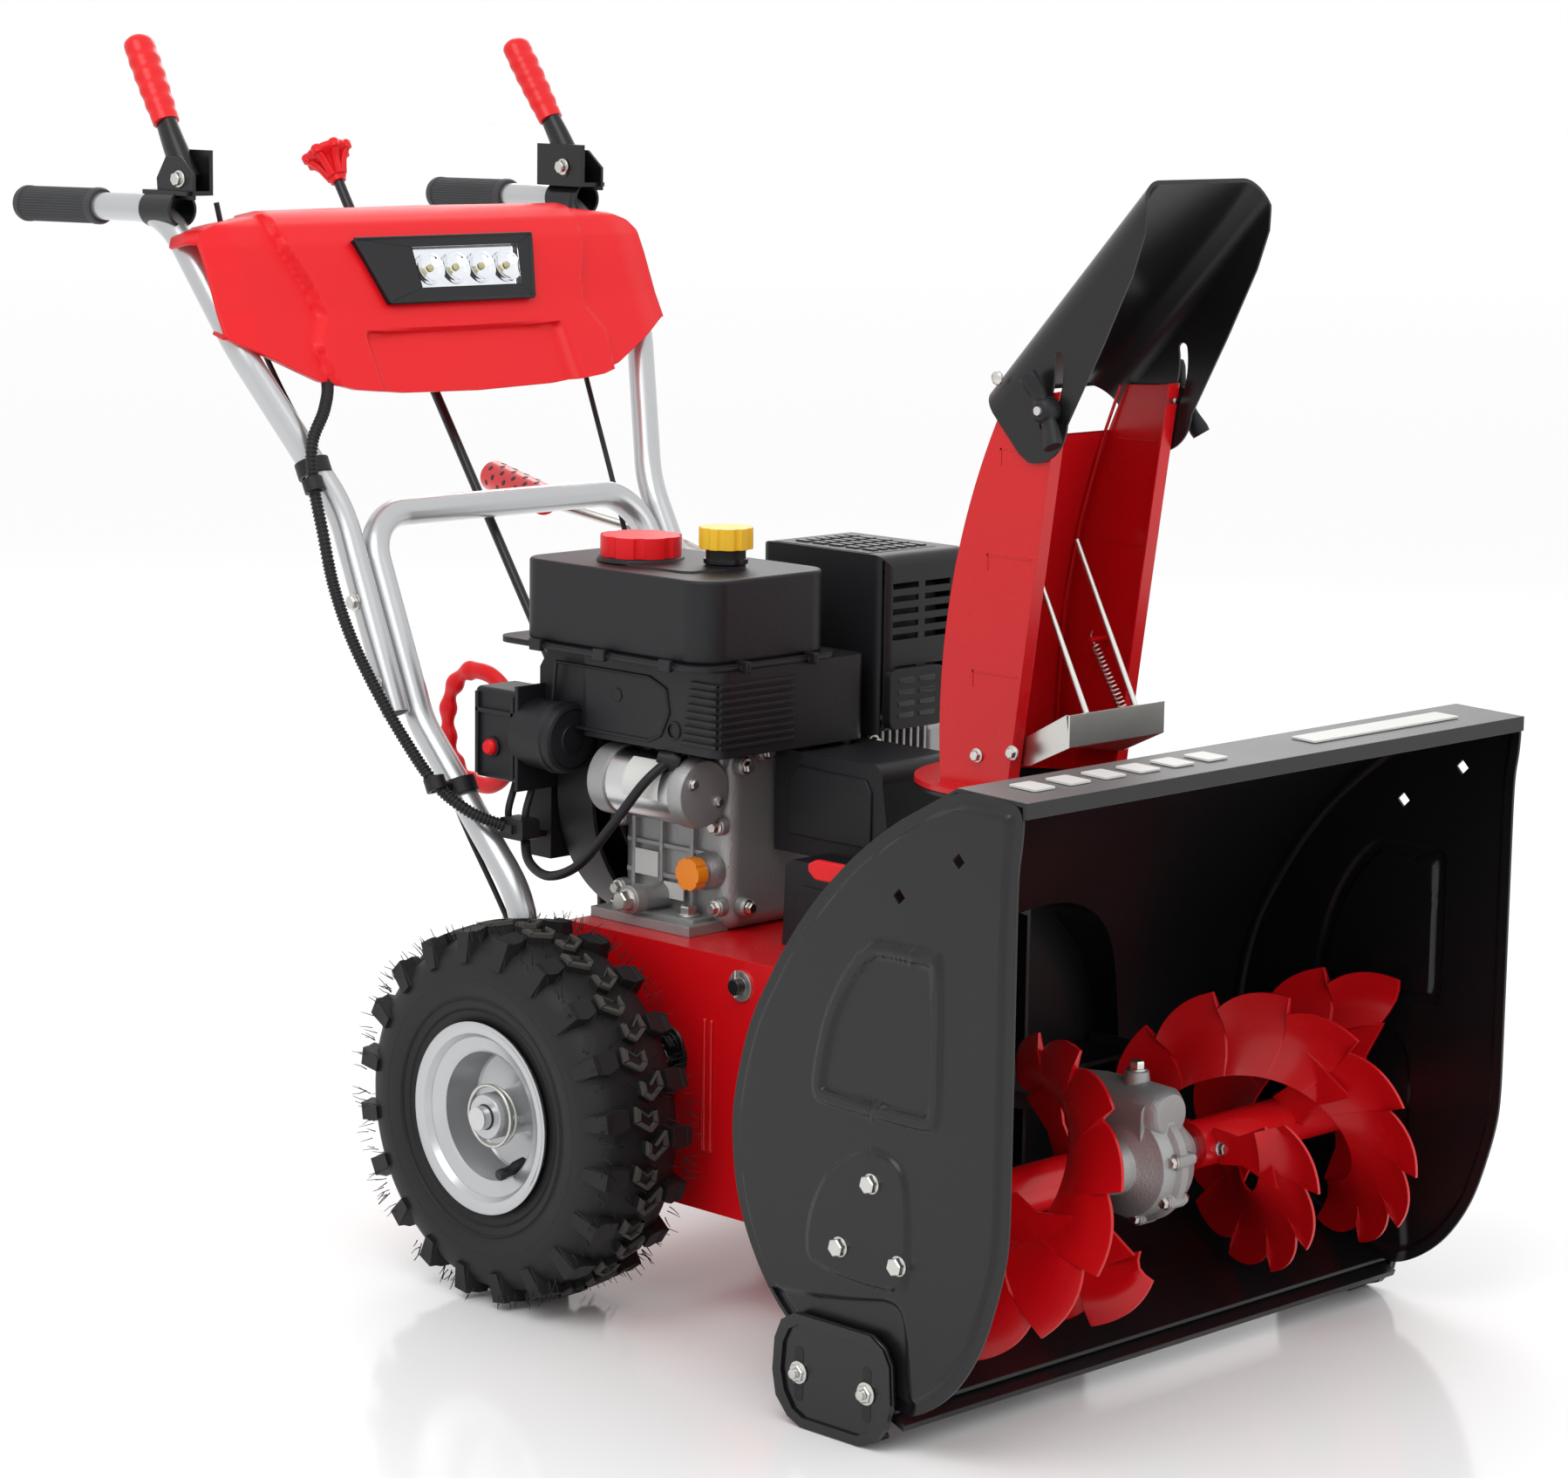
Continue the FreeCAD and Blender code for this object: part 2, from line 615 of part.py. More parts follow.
def chute_guard():
    """Zinc strap across the chute's mouth with two rods behind it, hinged on the chute's sides."""
    reach = size("chute_half") - 15
    arms = []
    for side in (RIGHT, LEFT):
        low = side * reach - (0 if side == RIGHT else 2)
        arm = Part.Face(Part.makePolygon([Vector(low, 262, 484), Vector(low, 262, 502), Vector(low, 214, 512),
                                          Vector(low, 174, 534), Vector(low, 170, 508), Vector(low, 212, 488),
                                          Vector(low, 262, 484)])).extrude(X * 2)
        arms.append(arm)
    band = Part.makeBox(2 * reach, 2, 26, Vector(-reach, 170, 508))
    rods = []
    for x in (-28, 32):
        top = Vector(x, 246, 660)
        foot = Vector(x, 173, 520)
        rods.append(Part.makeCylinder(2.5, (top - foot).Length, foot, (top - foot).normalize()))
    strap = band.fuse(arms + rods)
    strap = strap.cut(Part.makeCylinder(3.3, 300, Vector(-150, 254, 493), X))
    node("chute_guard", solid("chute_guard", strap))
    low_hook = Vector(50, 201, 514)
    high_hook = Vector(50, 239, 573)
    spring = Part.makeCylinder(4, (high_hook - low_hook).Length, low_hook, (high_hook - low_hook).normalize())
    node("guard_spring", solid("guard_spring", spring))


CRANK_FOOT = Vector(118, 288, 484)
CRANK_HEAD = Vector(290, 971, 569)


def chute_crank():
    """The long rod that turns the chute by its worm end, with an offset arm and a grip tube."""
    axis = (CRANK_HEAD - CRANK_FOOT).normalize()
    grip_foot = CRANK_HEAD + Vector(-130, 44, 42) + axis * 14
    grip_end = grip_foot + axis * 118
    spindle_end = grip_foot + axis * 10
    rod = tube([tuple(CRANK_FOOT), tuple(CRANK_HEAD), tuple(grip_foot), tuple(spindle_end + axis * 20)],
               [20, 14], 5)
    worm = Part.makeCylinder(13, 38, CRANK_FOOT + axis * 2, axis)
    node("crank_rod", solid("crank_rod", rod.fuse(worm).removeSplitter()))
    grip = Part.makeCylinder(15, (grip_end - spindle_end).Length, spindle_end, axis)
    grip = grip.cut(Part.makeCylinder(11, 200, spindle_end + axis * 8, axis))
    grip = grip.cut(Part.makeCylinder(5.05, 20, spindle_end - axis * 5, axis))
    node("crank_handle", solid("crank_handle", grip))


# ---------------------------------------------------------------- tractor

def frame_box():
    """Frame: two sides, the engine pan between them, a rear plate and a bottom cover."""
    start = (size("frame_front"), size("frame_base"))
    steps = [(size("frame_front"), size("pan_top")), (size("pan_back"), size("pan_top")),
             (size("pan_back"), 281), (size("frame_back"), 262), (size("frame_back"), size("frame_base"))]
    outer = pad("frame_outer", "YZ_Plane", "0", start, steps, "2*frame_half", True)
    gauge = size("sheet_gauge")
    hollow = pad("frame_inner", "YZ_Plane", "0", (size("frame_front") - 20, size("frame_base") + gauge),
                 [(size("frame_front") - 20, size("pan_top") - gauge),
                  (size("pan_back") - gauge, size("pan_top") - gauge), (size("pan_back") - gauge, 278),
                  (size("frame_back") - gauge, 260),
                  (size("frame_back") - gauge, size("frame_base") + gauge)], "2*(frame_half-sheet_gauge)", True)
    slot = box("belt_slot", ("-60", "frame_front-20", "pan_top-20"), ("120", "170", "40"))
    axle = bar("axle_hole", ("-300", "axle_y", "axle_z"), X, "14.5", "600")
    hexagon = bar("hex_hole", ("-300", "hex_y", "hex_z"), X, "12.5", "600")
    shell = cut("frame_shell", outer, hollow, slot, axle, hexagon)
    tongue = box("shift_tongue", ("7", "frame_back", "216"), ("4", "92", "52"))
    pin_slot = rounded("shift_slot", box("shift_slot_raw", ("0", "762", "225"), ("20", "22", "34")), 4.9, "x")
    node("frame_box", fuse("frame_box", shell, cut("shift_bracket", tongue, pin_slot)))


def bushings():
    """Flanged bushings of the axle and of the friction wheel's shaft, in the frame sides."""
    pieces = []
    for label, at, bore, hub in (("axle", ("axle_y", "axle_z"), size("axle_radius"), 14.4),
                                 ("hex", ("hex_y", "hex_z"), 8, 12.4)):
        right = lathe(f"{label}_bushing", ("-frame_half-3",) + at, X, (0, bore + 0.05),
                      [(0, hub + 8), (3, hub + 8), (3, hub), (9, hub), (9, bore + 0.05)])
        pieces += [right, mirrored(f"{label}_bushing_left", right)]
    bearing = lathe("disc_bearing", ("0", "445", "impeller_z"), Y, (0, 8.05), [(0, 22), (7, 22), (7, 8.05)])
    plate = box("disc_plate", ("-frame_half+sheet_gauge", "445", "impeller_z-20"),
                ("2*(frame_half-sheet_gauge)", "4", "40"))
    bore = bar("disc_plate_bore", ("0", "430", "impeller_z"), Y, "22", "30")
    node("bushings", group("bushings", *pieces, bearing, cut("disc_support", plate, bore)))


def wheels():
    """Axle with its reduction gear, and the two rims."""
    drills = [bar(f"axle_drill_{index}", (x, "axle_y-30", "axle_z"), Y, "3.55", "60")
              for index, x in enumerate(("-265", "265"))]
    axle_bar = cut("axle_drilled", bar("axle_bar", ("-292", "axle_y", "axle_z"), X, "axle_radius", "584"), *drills)
    gear = lathe("axle_gear", ("70", "axle_y", "axle_z"), X, (0, size("axle_radius")),
                 [(0, 70), (10, 70), (10, size("axle_radius"))])
    node("axle", group("axle", axle_bar, gear))
    right = cut("rim_drilled", outer_rim(), bar("rim_drill", ("-265", "axle_y-30", "axle_z"), Y, "3.6", "60"))
    node("wheel_rims", group("wheel_rims", right, mirrored("rim_left", right)))


def outer_rim():
    """One pressed rim: hub tube, dished web and a drop-centre well with two bead flanges."""
    bore = size("axle_radius")
    flange = size("rim_radius")
    profile = [(8, flange), (11, flange), (12, flange - 7), (18, flange - 10), (30, flange - 10),
               (38, flange - 22), (70, flange - 22), (78, flange - 10), (94, flange - 10), (98, flange - 7),
               (100, flange), (103, flange), (102, flange - 9), (97, flange - 13), (80, flange - 13),
               (73, flange - 25), (64, flange - 25), (58, flange - 30), (52, 38), (44, bore + 9),
               (88, bore + 9), (88, bore), (14, bore), (14, bore + 9), (40, bore + 9), (48, 38), (54, flange - 28),
               (56, flange - 25), (36, flange - 25), (28, flange - 13), (16, flange - 13), (9, flange - 9)]
    return lathe("rim_whole", ("-tyre_inner_x", "axle_y", "axle_z"), -X, profile[0], profile[1:])


def tyres():
    """Snow tyres: a round-shouldered casing on the bead seats."""
    outer = size("tyre_radius")
    flange = size("rim_radius")
    width = size("tyre_width")
    seat = flange - 10
    start = (18.5, seat)
    steps = [(13.5, seat + 3.5), (12, flange + 2), ((1, 118), (6, 138)), ((12, 154), (30, outer - 2)),
             ((width / 2, outer), (width - 30, outer - 2)), ((width - 12, 154), (width - 6, 138)),
             ((width - 1, 118), (99, flange + 2)), (97, seat + 3.5), (93.5, seat), (84, seat),
             (width - 18, flange + 4), ((width - 10, 116), (width - 24, 142)), (24, 142),
             ((10, 116), (21, flange + 4)), (28, seat)]
    right = lathe("tyre_right", ("-tyre_inner_x", "axle_y", "axle_z"), -X, start, steps)
    node("wheel_tyres", group("wheel_tyres", right, mirrored("tyre_left", right)))


def hub_pins():
    """Ring pins through the hubs that lock the wheels to the axle."""
    pieces = []
    for side in (RIGHT, LEFT):
        x = side * 265
        centre = Vector(x, size("axle_y"), size("axle_z"))
        pin = Part.makeCylinder(3.5, 52, centre - Vector(0, 26, 0), Y)
        ring = Part.makeTorus(26, 1.4, Vector(x + side * 12, size("axle_y"), size("axle_z")), X)
        pieces += [pin, ring]
    solids = [solid(f"hub_pin_{index}", piece) for index, piece in enumerate(pieces)]
    node("hub_pins", group("hub_pins", *solids))


def traction_drive():
    """Friction disc with its pulley, and the friction wheel on its shaft with the pinion."""
    disc = [(0, 8), (3, 8), (3, 48), (6, 52), (10, 40), (16, 40), (20, 52), (23, 48), (23, 8), (44, 8),
            (44, 82), (49, 82), (49, 0)]
    node("friction_disc", lathe("friction_disc", ("0", "416", "impeller_z"), Y, (0, 0), disc))
    wheel_x = size("frame_half") + 44
    shaft_end = size("frame_half") * 2 + 22
    shaft = [(0, 8), (wheel_x - 8, 8), (wheel_x - 8, 52.6), (wheel_x + 6, 52.6), (wheel_x + 6, 8),
             (240, 8), (240, 34), (250, 34), (250, 8), (shaft_end, 8), (shaft_end, 0)]
    node("friction_wheel", lathe("friction_wheel", ("-frame_half-11", "hex_y", "hex_z"), X, (0, 0), shaft))


def belt_loop(low_radius, high_radius, y):
    """A belt round the impeller-side pulley and the engine pulley, 11 mm wide."""
    low = Vector(0, y, size("impeller_z"))
    high = Vector(0, y, size("crank_z"))
    rise = (high - low).Length
    lean = math.asin((low_radius - high_radius) / rise)

    def ring(extra):
        low_r, high_r = low_radius + extra, high_radius + extra
        side_x, side_z = math.cos(lean), math.sin(lean)
        points = [low + Vector(side_x, 0, side_z) * low_r, high + Vector(side_x, 0, side_z) * high_r,
                  high + Vector(0, 0, high_r), high + Vector(-side_x, 0, side_z) * high_r,
                  low + Vector(-side_x, 0, side_z) * low_r, low - Vector(0, 0, low_r)]
        return Part.Wire([Part.LineSegment(points[0], points[1]).toShape(),
                          Part.Arc(points[1], points[2], points[3]).toShape(),
                          Part.LineSegment(points[3], points[4]).toShape(),
                          Part.Arc(points[4], points[5], points[0]).toShape()])
    outer = Part.Face(ring(8)).extrude(Y * 3)
    return outer.cut(Part.Face(ring(0)).extrude(Y * 3))


def belts_and_cover():
    """Auger belt, traction belt and the two-step cover over them."""
    loops = [solid("auger_belt", belt_loop(44.5, 30.5, 401.5)), solid("traction_belt", belt_loop(44.5, 30.5, 427.5))]
    node("drive_belts", group("drive_belts", *loops))
    start = (333, size("pan_top"))
    lower = pad("cover_lower", "YZ_Plane", "0", start, [(340, 366), ((344, 378), (356, 382)), (440, 382),
                ((450, 378), (452, 368)), (455, size("pan_top"))], "180", True)
    lower_inside = pad("cover_lower_inside", "YZ_Plane", "0", (336, 300), [(343, 366), ((346, 376), (358, 379)),
                       (438, 379), ((446, 376), (449, 366)), (452, 300)], "174", True)
    upper = pad("cover_upper", "YZ_Plane", "0", (372, 376), [(384, 448), ((387, 460), (400, 464)), (500, 464),
                ((508, 461), (510, 452)), (510, 376)], "92", True)
    upper_inside = pad("cover_upper_inside", "YZ_Plane", "0", (375, 340), [(387, 446), ((390, 457), (402, 461)),
                       (498, 461), ((505, 458), (507, 450)), (507, 340)], "86", True)
    shaft_hole = bar("cover_shaft_hole", ("0", "480", "crank_z"), Y, "20", "60")
    back_cut = box("cover_back_cut", ("-40", "440", "pan_top-5"), ("80", "40", "70"))
    node("belt_cover", cut("belt_cover", fuse("cover_whole", lower, upper), lower_inside, upper_inside,
                           shaft_hole, back_cut))


# ---------------------------------------------------------------- engine

def crankcase():
    """Cast crankcase on four feet, with the drain pipe and the dipstick tube on its right side."""
    block = rounded("case_block", box("case_raw", ("-95", "515", "pan_top"), ("190", "133", "160")), 14, "xyz")
    hollow = rounded("case_hollow", box("case_inside", ("-85", "524", "pan_top+10"), ("170", "115", "140")), 8)
    feet = [box(f"foot_{index}", (str(x), "532", "pan_top"), ("34", "100", "12"))
            for index, x in enumerate((-120, 86))]
    drain = bar("drain_pipe", ("-142", "590", "pan_top+24"), X, "11", "60")
    filler = bar("dipstick_tube", ("-112", "535", "pan_top+52"), X, "13", "30")
    bore = bar("case_bore", ("0", "500", "crank_z"), Y, "crank_shaft_radius+0.05", "200")
    filler_bore = bar("filler_bore", ("-120", "535", "pan_top+52"), X, "9.2", "60")
    node("crankcase", cut("crankcase", fuse("case_whole", block, drain, filler, *feet), hollow, bore,
                          filler_bore))


def cylinder():
    """Finned cylinder lying to the left, with the head and the rocker cover at its end."""
    core = box("barrel", ("95", "540", "360"), ("69", "80", "90"))
    fins = [box(f"fin_{index}", (f"{100 + 9 * index}", "524", "345"), ("3", "112", "120")) for index in range(7)]
    head = rounded("head", box("head_raw", ("160", "526", "350"), ("28", "108", "110")), 6)
    cover = rounded("rocker_cover", box("cover_raw", ("187", "536", "362"), ("34", "88", "86")), 12)
    exhaust = bar("exhaust_pipe", ("120", "560", "440"), Z, "14", "40")
    node("cylinder_head", fuse("cylinder_head", core, head, cover, exhaust, *fins))


def crankshaft():
    """Crankshaft with the two engine pulleys in front and the flywheel behind."""
    shaft = size("crank_shaft_radius")
    steps = [(0, shaft), (4, shaft), (4, 34), (7, 38), (11, 26), (17, 26), (21, 38), (24, 34), (24, shaft + 4),
             (30, shaft + 4), (30, 34), (33, 38), (37, 26), (43, 26), (47, 38), (50, 34), (50, shaft),
             (146, shaft), (146, 44), (206, 44), (206, shaft), (264, shaft), (264, 96), (292, 96), (292, 40),
             (286, 40), (286, 0)]
    node("crankshaft", lathe("crankshaft", ("0", "389", "crank_z"), Y, (0, 0), steps))


def blower_housing():
    """Round fan housing behind the crankcase, with the recoil cover on it and the cord's guide."""
    steps = [(0, 128), (44, 128), (50, 122), (50, 96), (92, 92), (104, 78), (104, 0), (100, 0), (100, 75),
             (90, 88), (46, 92), (46, 120), (42, 124), (0, 124)]
    shell = lathe("fan_housing", ("0", "650", "crank_z"), Y, (0, 128), steps[1:])
    guide = bar("cord_guide", ("-105", "690", "448"), Y, "13", "62")
    cavity = bar("cord_cavity", ("-105", "640", "448"), Y, "8", "108")
    eyelet = bar("cord_eyelet", ("-105", "740", "448"), Y, "2.5", "20")
    node("blower_housing", cut("blower_housing", fuse("fan_and_guide", shell, guide), cavity, eyelet))


def starter():
    """Electric starter: motor, lead, and the switch box with its round cap."""
    can = lathe("starter_can", ("-125", "514", "432"), Y, (0, 0), [(0, 27), (3, 29), (44, 29), (44, 27),
                (84, 27), (84, 29), (110, 29), (110, 9), (134, 9), (134, 0)])
    lug = box("starter_lug", ("-112", "530", "392"), ("17", "40", "20"))
    lead = [(-148, 552, 450), (-158, 575, 452), (-166, 605, 436), (-174, 640, 405), (-176, 672, 372),
            (-166, 700, 358), (-150, 715, 356), (-130, 715, 356)]
    node("starter_motor", group("starter_motor", fuse("starter_body", can, lug),
                                solid("starter_lead", cable("starter lead", lead, 4))))
    shell = rounded("switch_shell", box("switch_raw", ("-168", "700", "420"), ("48", "58", "80")), 5)
    cap = lathe("switch_cap", ("-150", "652", "464"), Y, (0, 0), [(0, 28), (3, 30), (48, 30), (48, 0)])
    stem = box("switch_stem", ("-130", "700", "350"), ("24", "30", "74"))
    bore = bar("button_bore", ("-172", "733", "449"), X, "7.3", "16")
    node("switch_box", cut("switch_box", fuse("switch_whole", shell, cap, stem), bore))
    node("starter_button", lathe("starter_button", ("-176", "733", "449"), X, (0, 0),
                                 [(0, 5), (3, 7), (14, 7), (14, 0)]))


def recoil_handle():
    """D-shaped pull handle with its cord, resting on the guide at the fan housing."""
    x, y, z = -105, 762, 448
    loop = tube([(x, y + 22, z + 16), (x, y + 42, z + 46), (x, y + 86, z + 40), (x, y + 104, z),
                 (x, y + 86, z - 42), (x, y + 42, z - 48), (x, y + 22, z - 16)], [14, 18, 30, 18, 14], 7)
    foot = Part.makeBox(18, 22, 44, Vector(x - 9, y + 6, z - 22))
    foot = foot.makeFillet(4, foot.Edges)
    cord = Part.makeCylinder(2, 116, Vector(x, y - 107, z), Y)
    node("recoil_handle", solid("recoil_handle", loop.fuse([foot, cord]).removeSplitter()))


def fuel_tank():
    """Moulded tank with a seam flange round its foot and a filler neck."""
    body = rounded("tank_body", rounded("tank_upright", box("tank_raw", ("-158", "482", "546"),
                   ("152", "232", "70")), 26, "z"), 3, "x")
    flange = rounded("tank_flange", box("flange_raw", ("-164", "476", "541"), ("164", "262", "5")), 20, "z")
    neck = bar("tank_neck", ("-96", "625", "610"), Z, "31", "10")
    oil_neck = bar("oil_neck", ("-72", "546", "610"), Z, "17", "22")
    node("fuel_tank", fuse("fuel_tank", body, flange, neck, oil_neck))


def engine_shroud():
    """Lower engine cover under the tank, open below over the cylinder and the fan."""
    outer = rounded("shroud_outer", box("shroud_raw", ("-146", "476", "468"), ("176", "173", "73")), 12, "z")
    inner = box("shroud_inner", ("-142", "480", "460"), ("168", "165", "78"))
    node("engine_shroud", cut("engine_shroud", outer, inner))


def muffler_guard():
    """Slotted heat guard with the muffler can inside."""
    outer = rounded("guard_outer", box("guard_raw", ("42", "470", "468"), ("104", "150", "156")), 12, "xz")
    inner = box("guard_inner", ("45", "473", "450"), ("98", "144", "169"))
    slots = []
    for column in range(2):
        for line in range(5):
            slots.append(box(f"guard_slot_{column}_{line}", (f"{54 + 40 * column}", "460", f"{556 + 11 * line - 6}"),
                             ("32", "20", "5")))
        for line in range(4):
            slots.append(box(f"guard_low_{column}_{line}", (f"{58 + 38 * column}", "460", f"{486 + 12 * line}"),
                             ("26", "20", "5")))
    shell = cut("guard_shell", outer, inner, *slots)
    can = rounded("muffler_can", box("can_raw", ("56", "484", "480"), ("76", "122", "120")), 14)
    node("muffler_guard", group("muffler_guard", shell, can))


def caps():
    """Fuel cap, oil filler cap and dipstick, each a lobed knob."""
    node("fuel_cap", lobed_cap("fuel_cap", Vector(-96, 625, 620.5), Z, 35, 18, 8))
    node("oil_filler_cap", lobed_cap("oil_filler_cap", Vector(-72, 546, 632.5), Z, 23, 18, 10))
    stick = lobed_cap("dipstick_knob", Vector(-112.5, 535, 360), -X, 14, 12, 6)
    rod = bar("dipstick_rod", ("-113", "535", "pan_top+52"), X, "3", "70")
    node("dipstick", fuse("dipstick", stick, rod))


def lobed_cap(name, at, axis, radius, height, lobes):
    """A cap with finger hollows round its rim, made by a polar pattern."""
    body = doc.addObject("PartDesign::Body", name + "_body")
    rim = sketch(body, name + "_rim", "XY_Plane")
    rim.addGeometry(Part.Circle(Vector(), Z, radius))
    cap_pad = body.newObject("PartDesign::Pad", name + "_pad")
    cap_pad.Profile = rim
    cap_pad.Length = height
    hollow = sketch(body, name + "_hollow", "XY_Plane")
    hollow.addGeometry(Part.Circle(Vector(radius * 1.12, 0, 0), Z, radius * 0.2))
    dent = body.newObject("PartDesign::Pocket", name + "_dent")
    dent.Profile = hollow
    dent.Reversed = True
    dent.Length = height
    doc.recompute()
    pattern = body.newObject("PartDesign::PolarPattern", name + "_dents")
    pattern.Originals = [dent]
    pattern.Axis = (rim, ["N_Axis"])
    pattern.Angle = 360
    pattern.Occurrences = lobes
    body.Tip = pattern
    body.Placement = Placement(at, along(axis))
    return body


# ---------------------------------------------------------------- handles and controls

def handles():
    """Lower U-handle on the frame sides and the two upper tubes that carry console and grips."""
    radius = size("handle_radius")
    inner = radius - 1.6
    leg = size("frame_half") + radius
    lower = tube([(-leg, 668, 180), (-leg, 693, 322), (-leg, 826, 460), (-leg + 8, 912, 634),
                  (leg - 8, 912, 634), (leg, 826, 460), (leg, 693, 322), (leg, 668, 180)],
                 [90, 90, 46, 46, 90, 90], radius, inner)
    node("lower_handle", solid("lower_handle", lower))
    uppers = []
    for side in (RIGHT, LEFT):
        path = [(side * (leg + 24.65), 830.3, 468.7), (side * (leg + 16.75), 915.4, 641), (side * 243, 990, 782),
                (side * 244, 1090, 899), (side * 250, 1292, 896)]
        uppers.append(solid(f"upper_tube_{side}", tube(path, [120, 110, 90], radius, inner)))
    node("upper_tubes", group("upper_tubes", *uppers))
    run = (Vector(-244, 1090, 899) - Vector(-250, 1292, 896)).normalize()
    tail = Vector(-250, 1292, 896) - run * 4
    grip = lathe("grip_right", (f"{tail.x}", f"{tail.y}", f"{tail.z}"), run, (0, 0), [(0, 17), (3, 18), (6, 17),
                 (146, 17), (146, radius + 0.05), (4, radius + 0.05), (4, 0)])
    node("handle_grips", group("handle_grips", grip, mirrored("grip_left", grip)))


LOOM_ROUTE = [(-150, 1000, 772), (-168, 958, 750), (-192, 932, 728), (-214, 922, 700), (-219, 914, 664),
              (-222, 898, 624), (-225, 880, 580), (-225, 856, 536), (-221, 828, 494), (-214, 797, 452),
              (-206, 765, 416), (-192, 736, 394), (-172, 712, 382)]


def cable_route(side):
    """A control cable's route from its lever down to the frame."""
    route = [(214, 1056, 905), (206, 1052, 862), (196, 1036, 808), (186, 1010, 752), (176, 978, 700),
             (164, 940, 640), (154, 906, 578), (150, 872, 512), (150, 838, 440), (149, 796, 372),
             (148, 748, 310), (147, 716, 262)]
    return [(side * x, y, z) for x, y, z in route]


def control_brackets():
    """Pressed brackets: one on each upper tube for its lever, and the crank rod's two supports."""
    pieces = []
    for side in (RIGHT, LEFT):
        plate = Part.makeBox(4, 64, 40, Vector(side * 224 - 2, 1050, 911.5))
        foot = Part.makeBox(30, 64, 4, Vector(side * 237 - 15, 1050, 911.5))
        pin = Part.makeCylinder(3.4, 19, Vector(side * 222, 1076, 930), X * side)
        pieces.append(plate.fuse([foot, pin]).removeSplitter())
    axis = (CRANK_HEAD - CRANK_FOOT).normalize()
    eye_at = CRANK_HEAD - axis * 98
    eye = Part.makeCylinder(9, 8, eye_at, axis).cut(Part.makeCylinder(5.05, 20, eye_at - axis * 5, axis))
    root = Vector(206.3, 861, 532)
    stay_end = eye_at + axis * 4 - X * 7
    stay = Part.makeCylinder(3.5, (stay_end - root).Length, root, (stay_end - root).normalize())
    pieces.append(eye.fuse(stay).cut(Part.makeCylinder(5.2, 60, eye_at - axis * 30, axis)))
    low_at = CRANK_FOOT + axis * 56
    block = Part.makeBox(26, 12, 30, Vector(low_at.x - 13, low_at.y - 6, low_at.z - 22))
    post = Part.makeBox(26, 40, 4, Vector(low_at.x - 13, low_at.y - 34, chute_shelf() - 4))
    shape = block.fuse(post).cut(Part.makeCylinder(5.05, 60, low_at - axis * 30, axis))
    pieces.append(shape)
    node("control_brackets", group("control_brackets", *[solid(f"bracket_{i}", p) for i, p in enumerate(pieces)]))


def chute_shelf():
    """Height of the crank bracket's foot, level with the neck's ring."""
    return size("chute_ring_z") + 2


def control_levers():
    """Two squeeze levers above the grips, each on a pin in its bracket."""
    for side, name in ((RIGHT, "drive_lever"), (LEFT, "auger_lever")):
        x = side * 233
        knee = Vector(x, 1100, 962)
        tip = Vector(x - 7 * side, 1151, 1044)
        run = (tip - knee).normalize()
        blade = tube([(x, 1076, 930), knee, tuple(tip)], [60], 6)
        stem_start = knee + run * 10
        blade = blade.fuse(Part.makeCylinder(9.5, (tip - stem_start).Length, stem_start, run))
        sleeve_start = knee + run * 30
        blade = blade.fuse(Part.makeCylinder(13, (tip - sleeve_start).Length, sleeve_start, run))
        blade = blade.fuse(Part.makeSphere(13, tip)).removeSplitter()
        boss = Part.makeCylinder(9, 7, Vector(x - 3.5 + side * 1, 1076, 930), X)
        blade = blade.fuse(boss).cut(Part.makeCylinder(3.5, 60, Vector(x - 30, 1076, 930), X))
        node(name, solid(name, blade))


def console():
    """Console shell: a raised middle, two wings, and the lamp let into its face."""
    front = [Vector(-181, 953, 751), Vector(0, 940, 735), Vector(181, 953, 751), Vector(262, 991, 790),
             Vector(257, 1033, 881), Vector(152, 1048, 898), Vector(-152, 1048, 898), Vector(-257, 1033, 881),
             Vector(-262, 991, 790)]
    back_shift = Vector(0, 46, -30)
    centre_front = Vector(0, 1000, 830)
    faces = []
    count = len(front)
    back = [point + back_shift for point in front]
    for index in range(count):
        after = (index + 1) % count
        faces.append(Part.Face(Part.makePolygon([front[index], front[after], centre_front, front[index]])))
        faces.append(Part.Face(Part.makePolygon([back[index], back[after], centre_front + back_shift, back[index]])))
        faces.append(Part.Face(Part.makePolygon([front[index], front[after], back[after], front[index]])))
        faces.append(Part.Face(Part.makePolygon([front[index], back[after], back[index], front[index]])))
    shell = Part.Solid(Part.makeShell(faces))
    if shell.Volume < 0:
        shell.reverse()
    inner = shell.copy()
    inner = inner.scaled(0.94, centre_front + back_shift * 0.5)
    inner.translate(Vector(0, 9, -6))
    shape = shell.cut(inner)
    for side in (RIGHT, LEFT):
        path = tube([(side * 200, 940, 690), (side * 243, 990, 782), (side * 244, 1090, 899), (side * 250, 1200, 897)],
                    [110, 90], size("handle_radius") + 0.5)
        shape = shape.cut(path)
        shape = shape.cut(tube(cable_route(side), arc_radii(cable_route(side)), 4))
    shape = shape.cut(tube(LOOM_ROUTE, arc_radii(LOOM_ROUTE), 6))
    shape = shape.cut(Part.makeBox(16, 120, 240, Vector(-8, 1050, 800)))
    shape = shape.cut(Part.makeBox(24, 110, 110, Vector(-12, 975, 690)))
    shape = max(shape.Solids, key=lambda piece: piece.Volume)
    node("control_console", solid("control_console", shape))


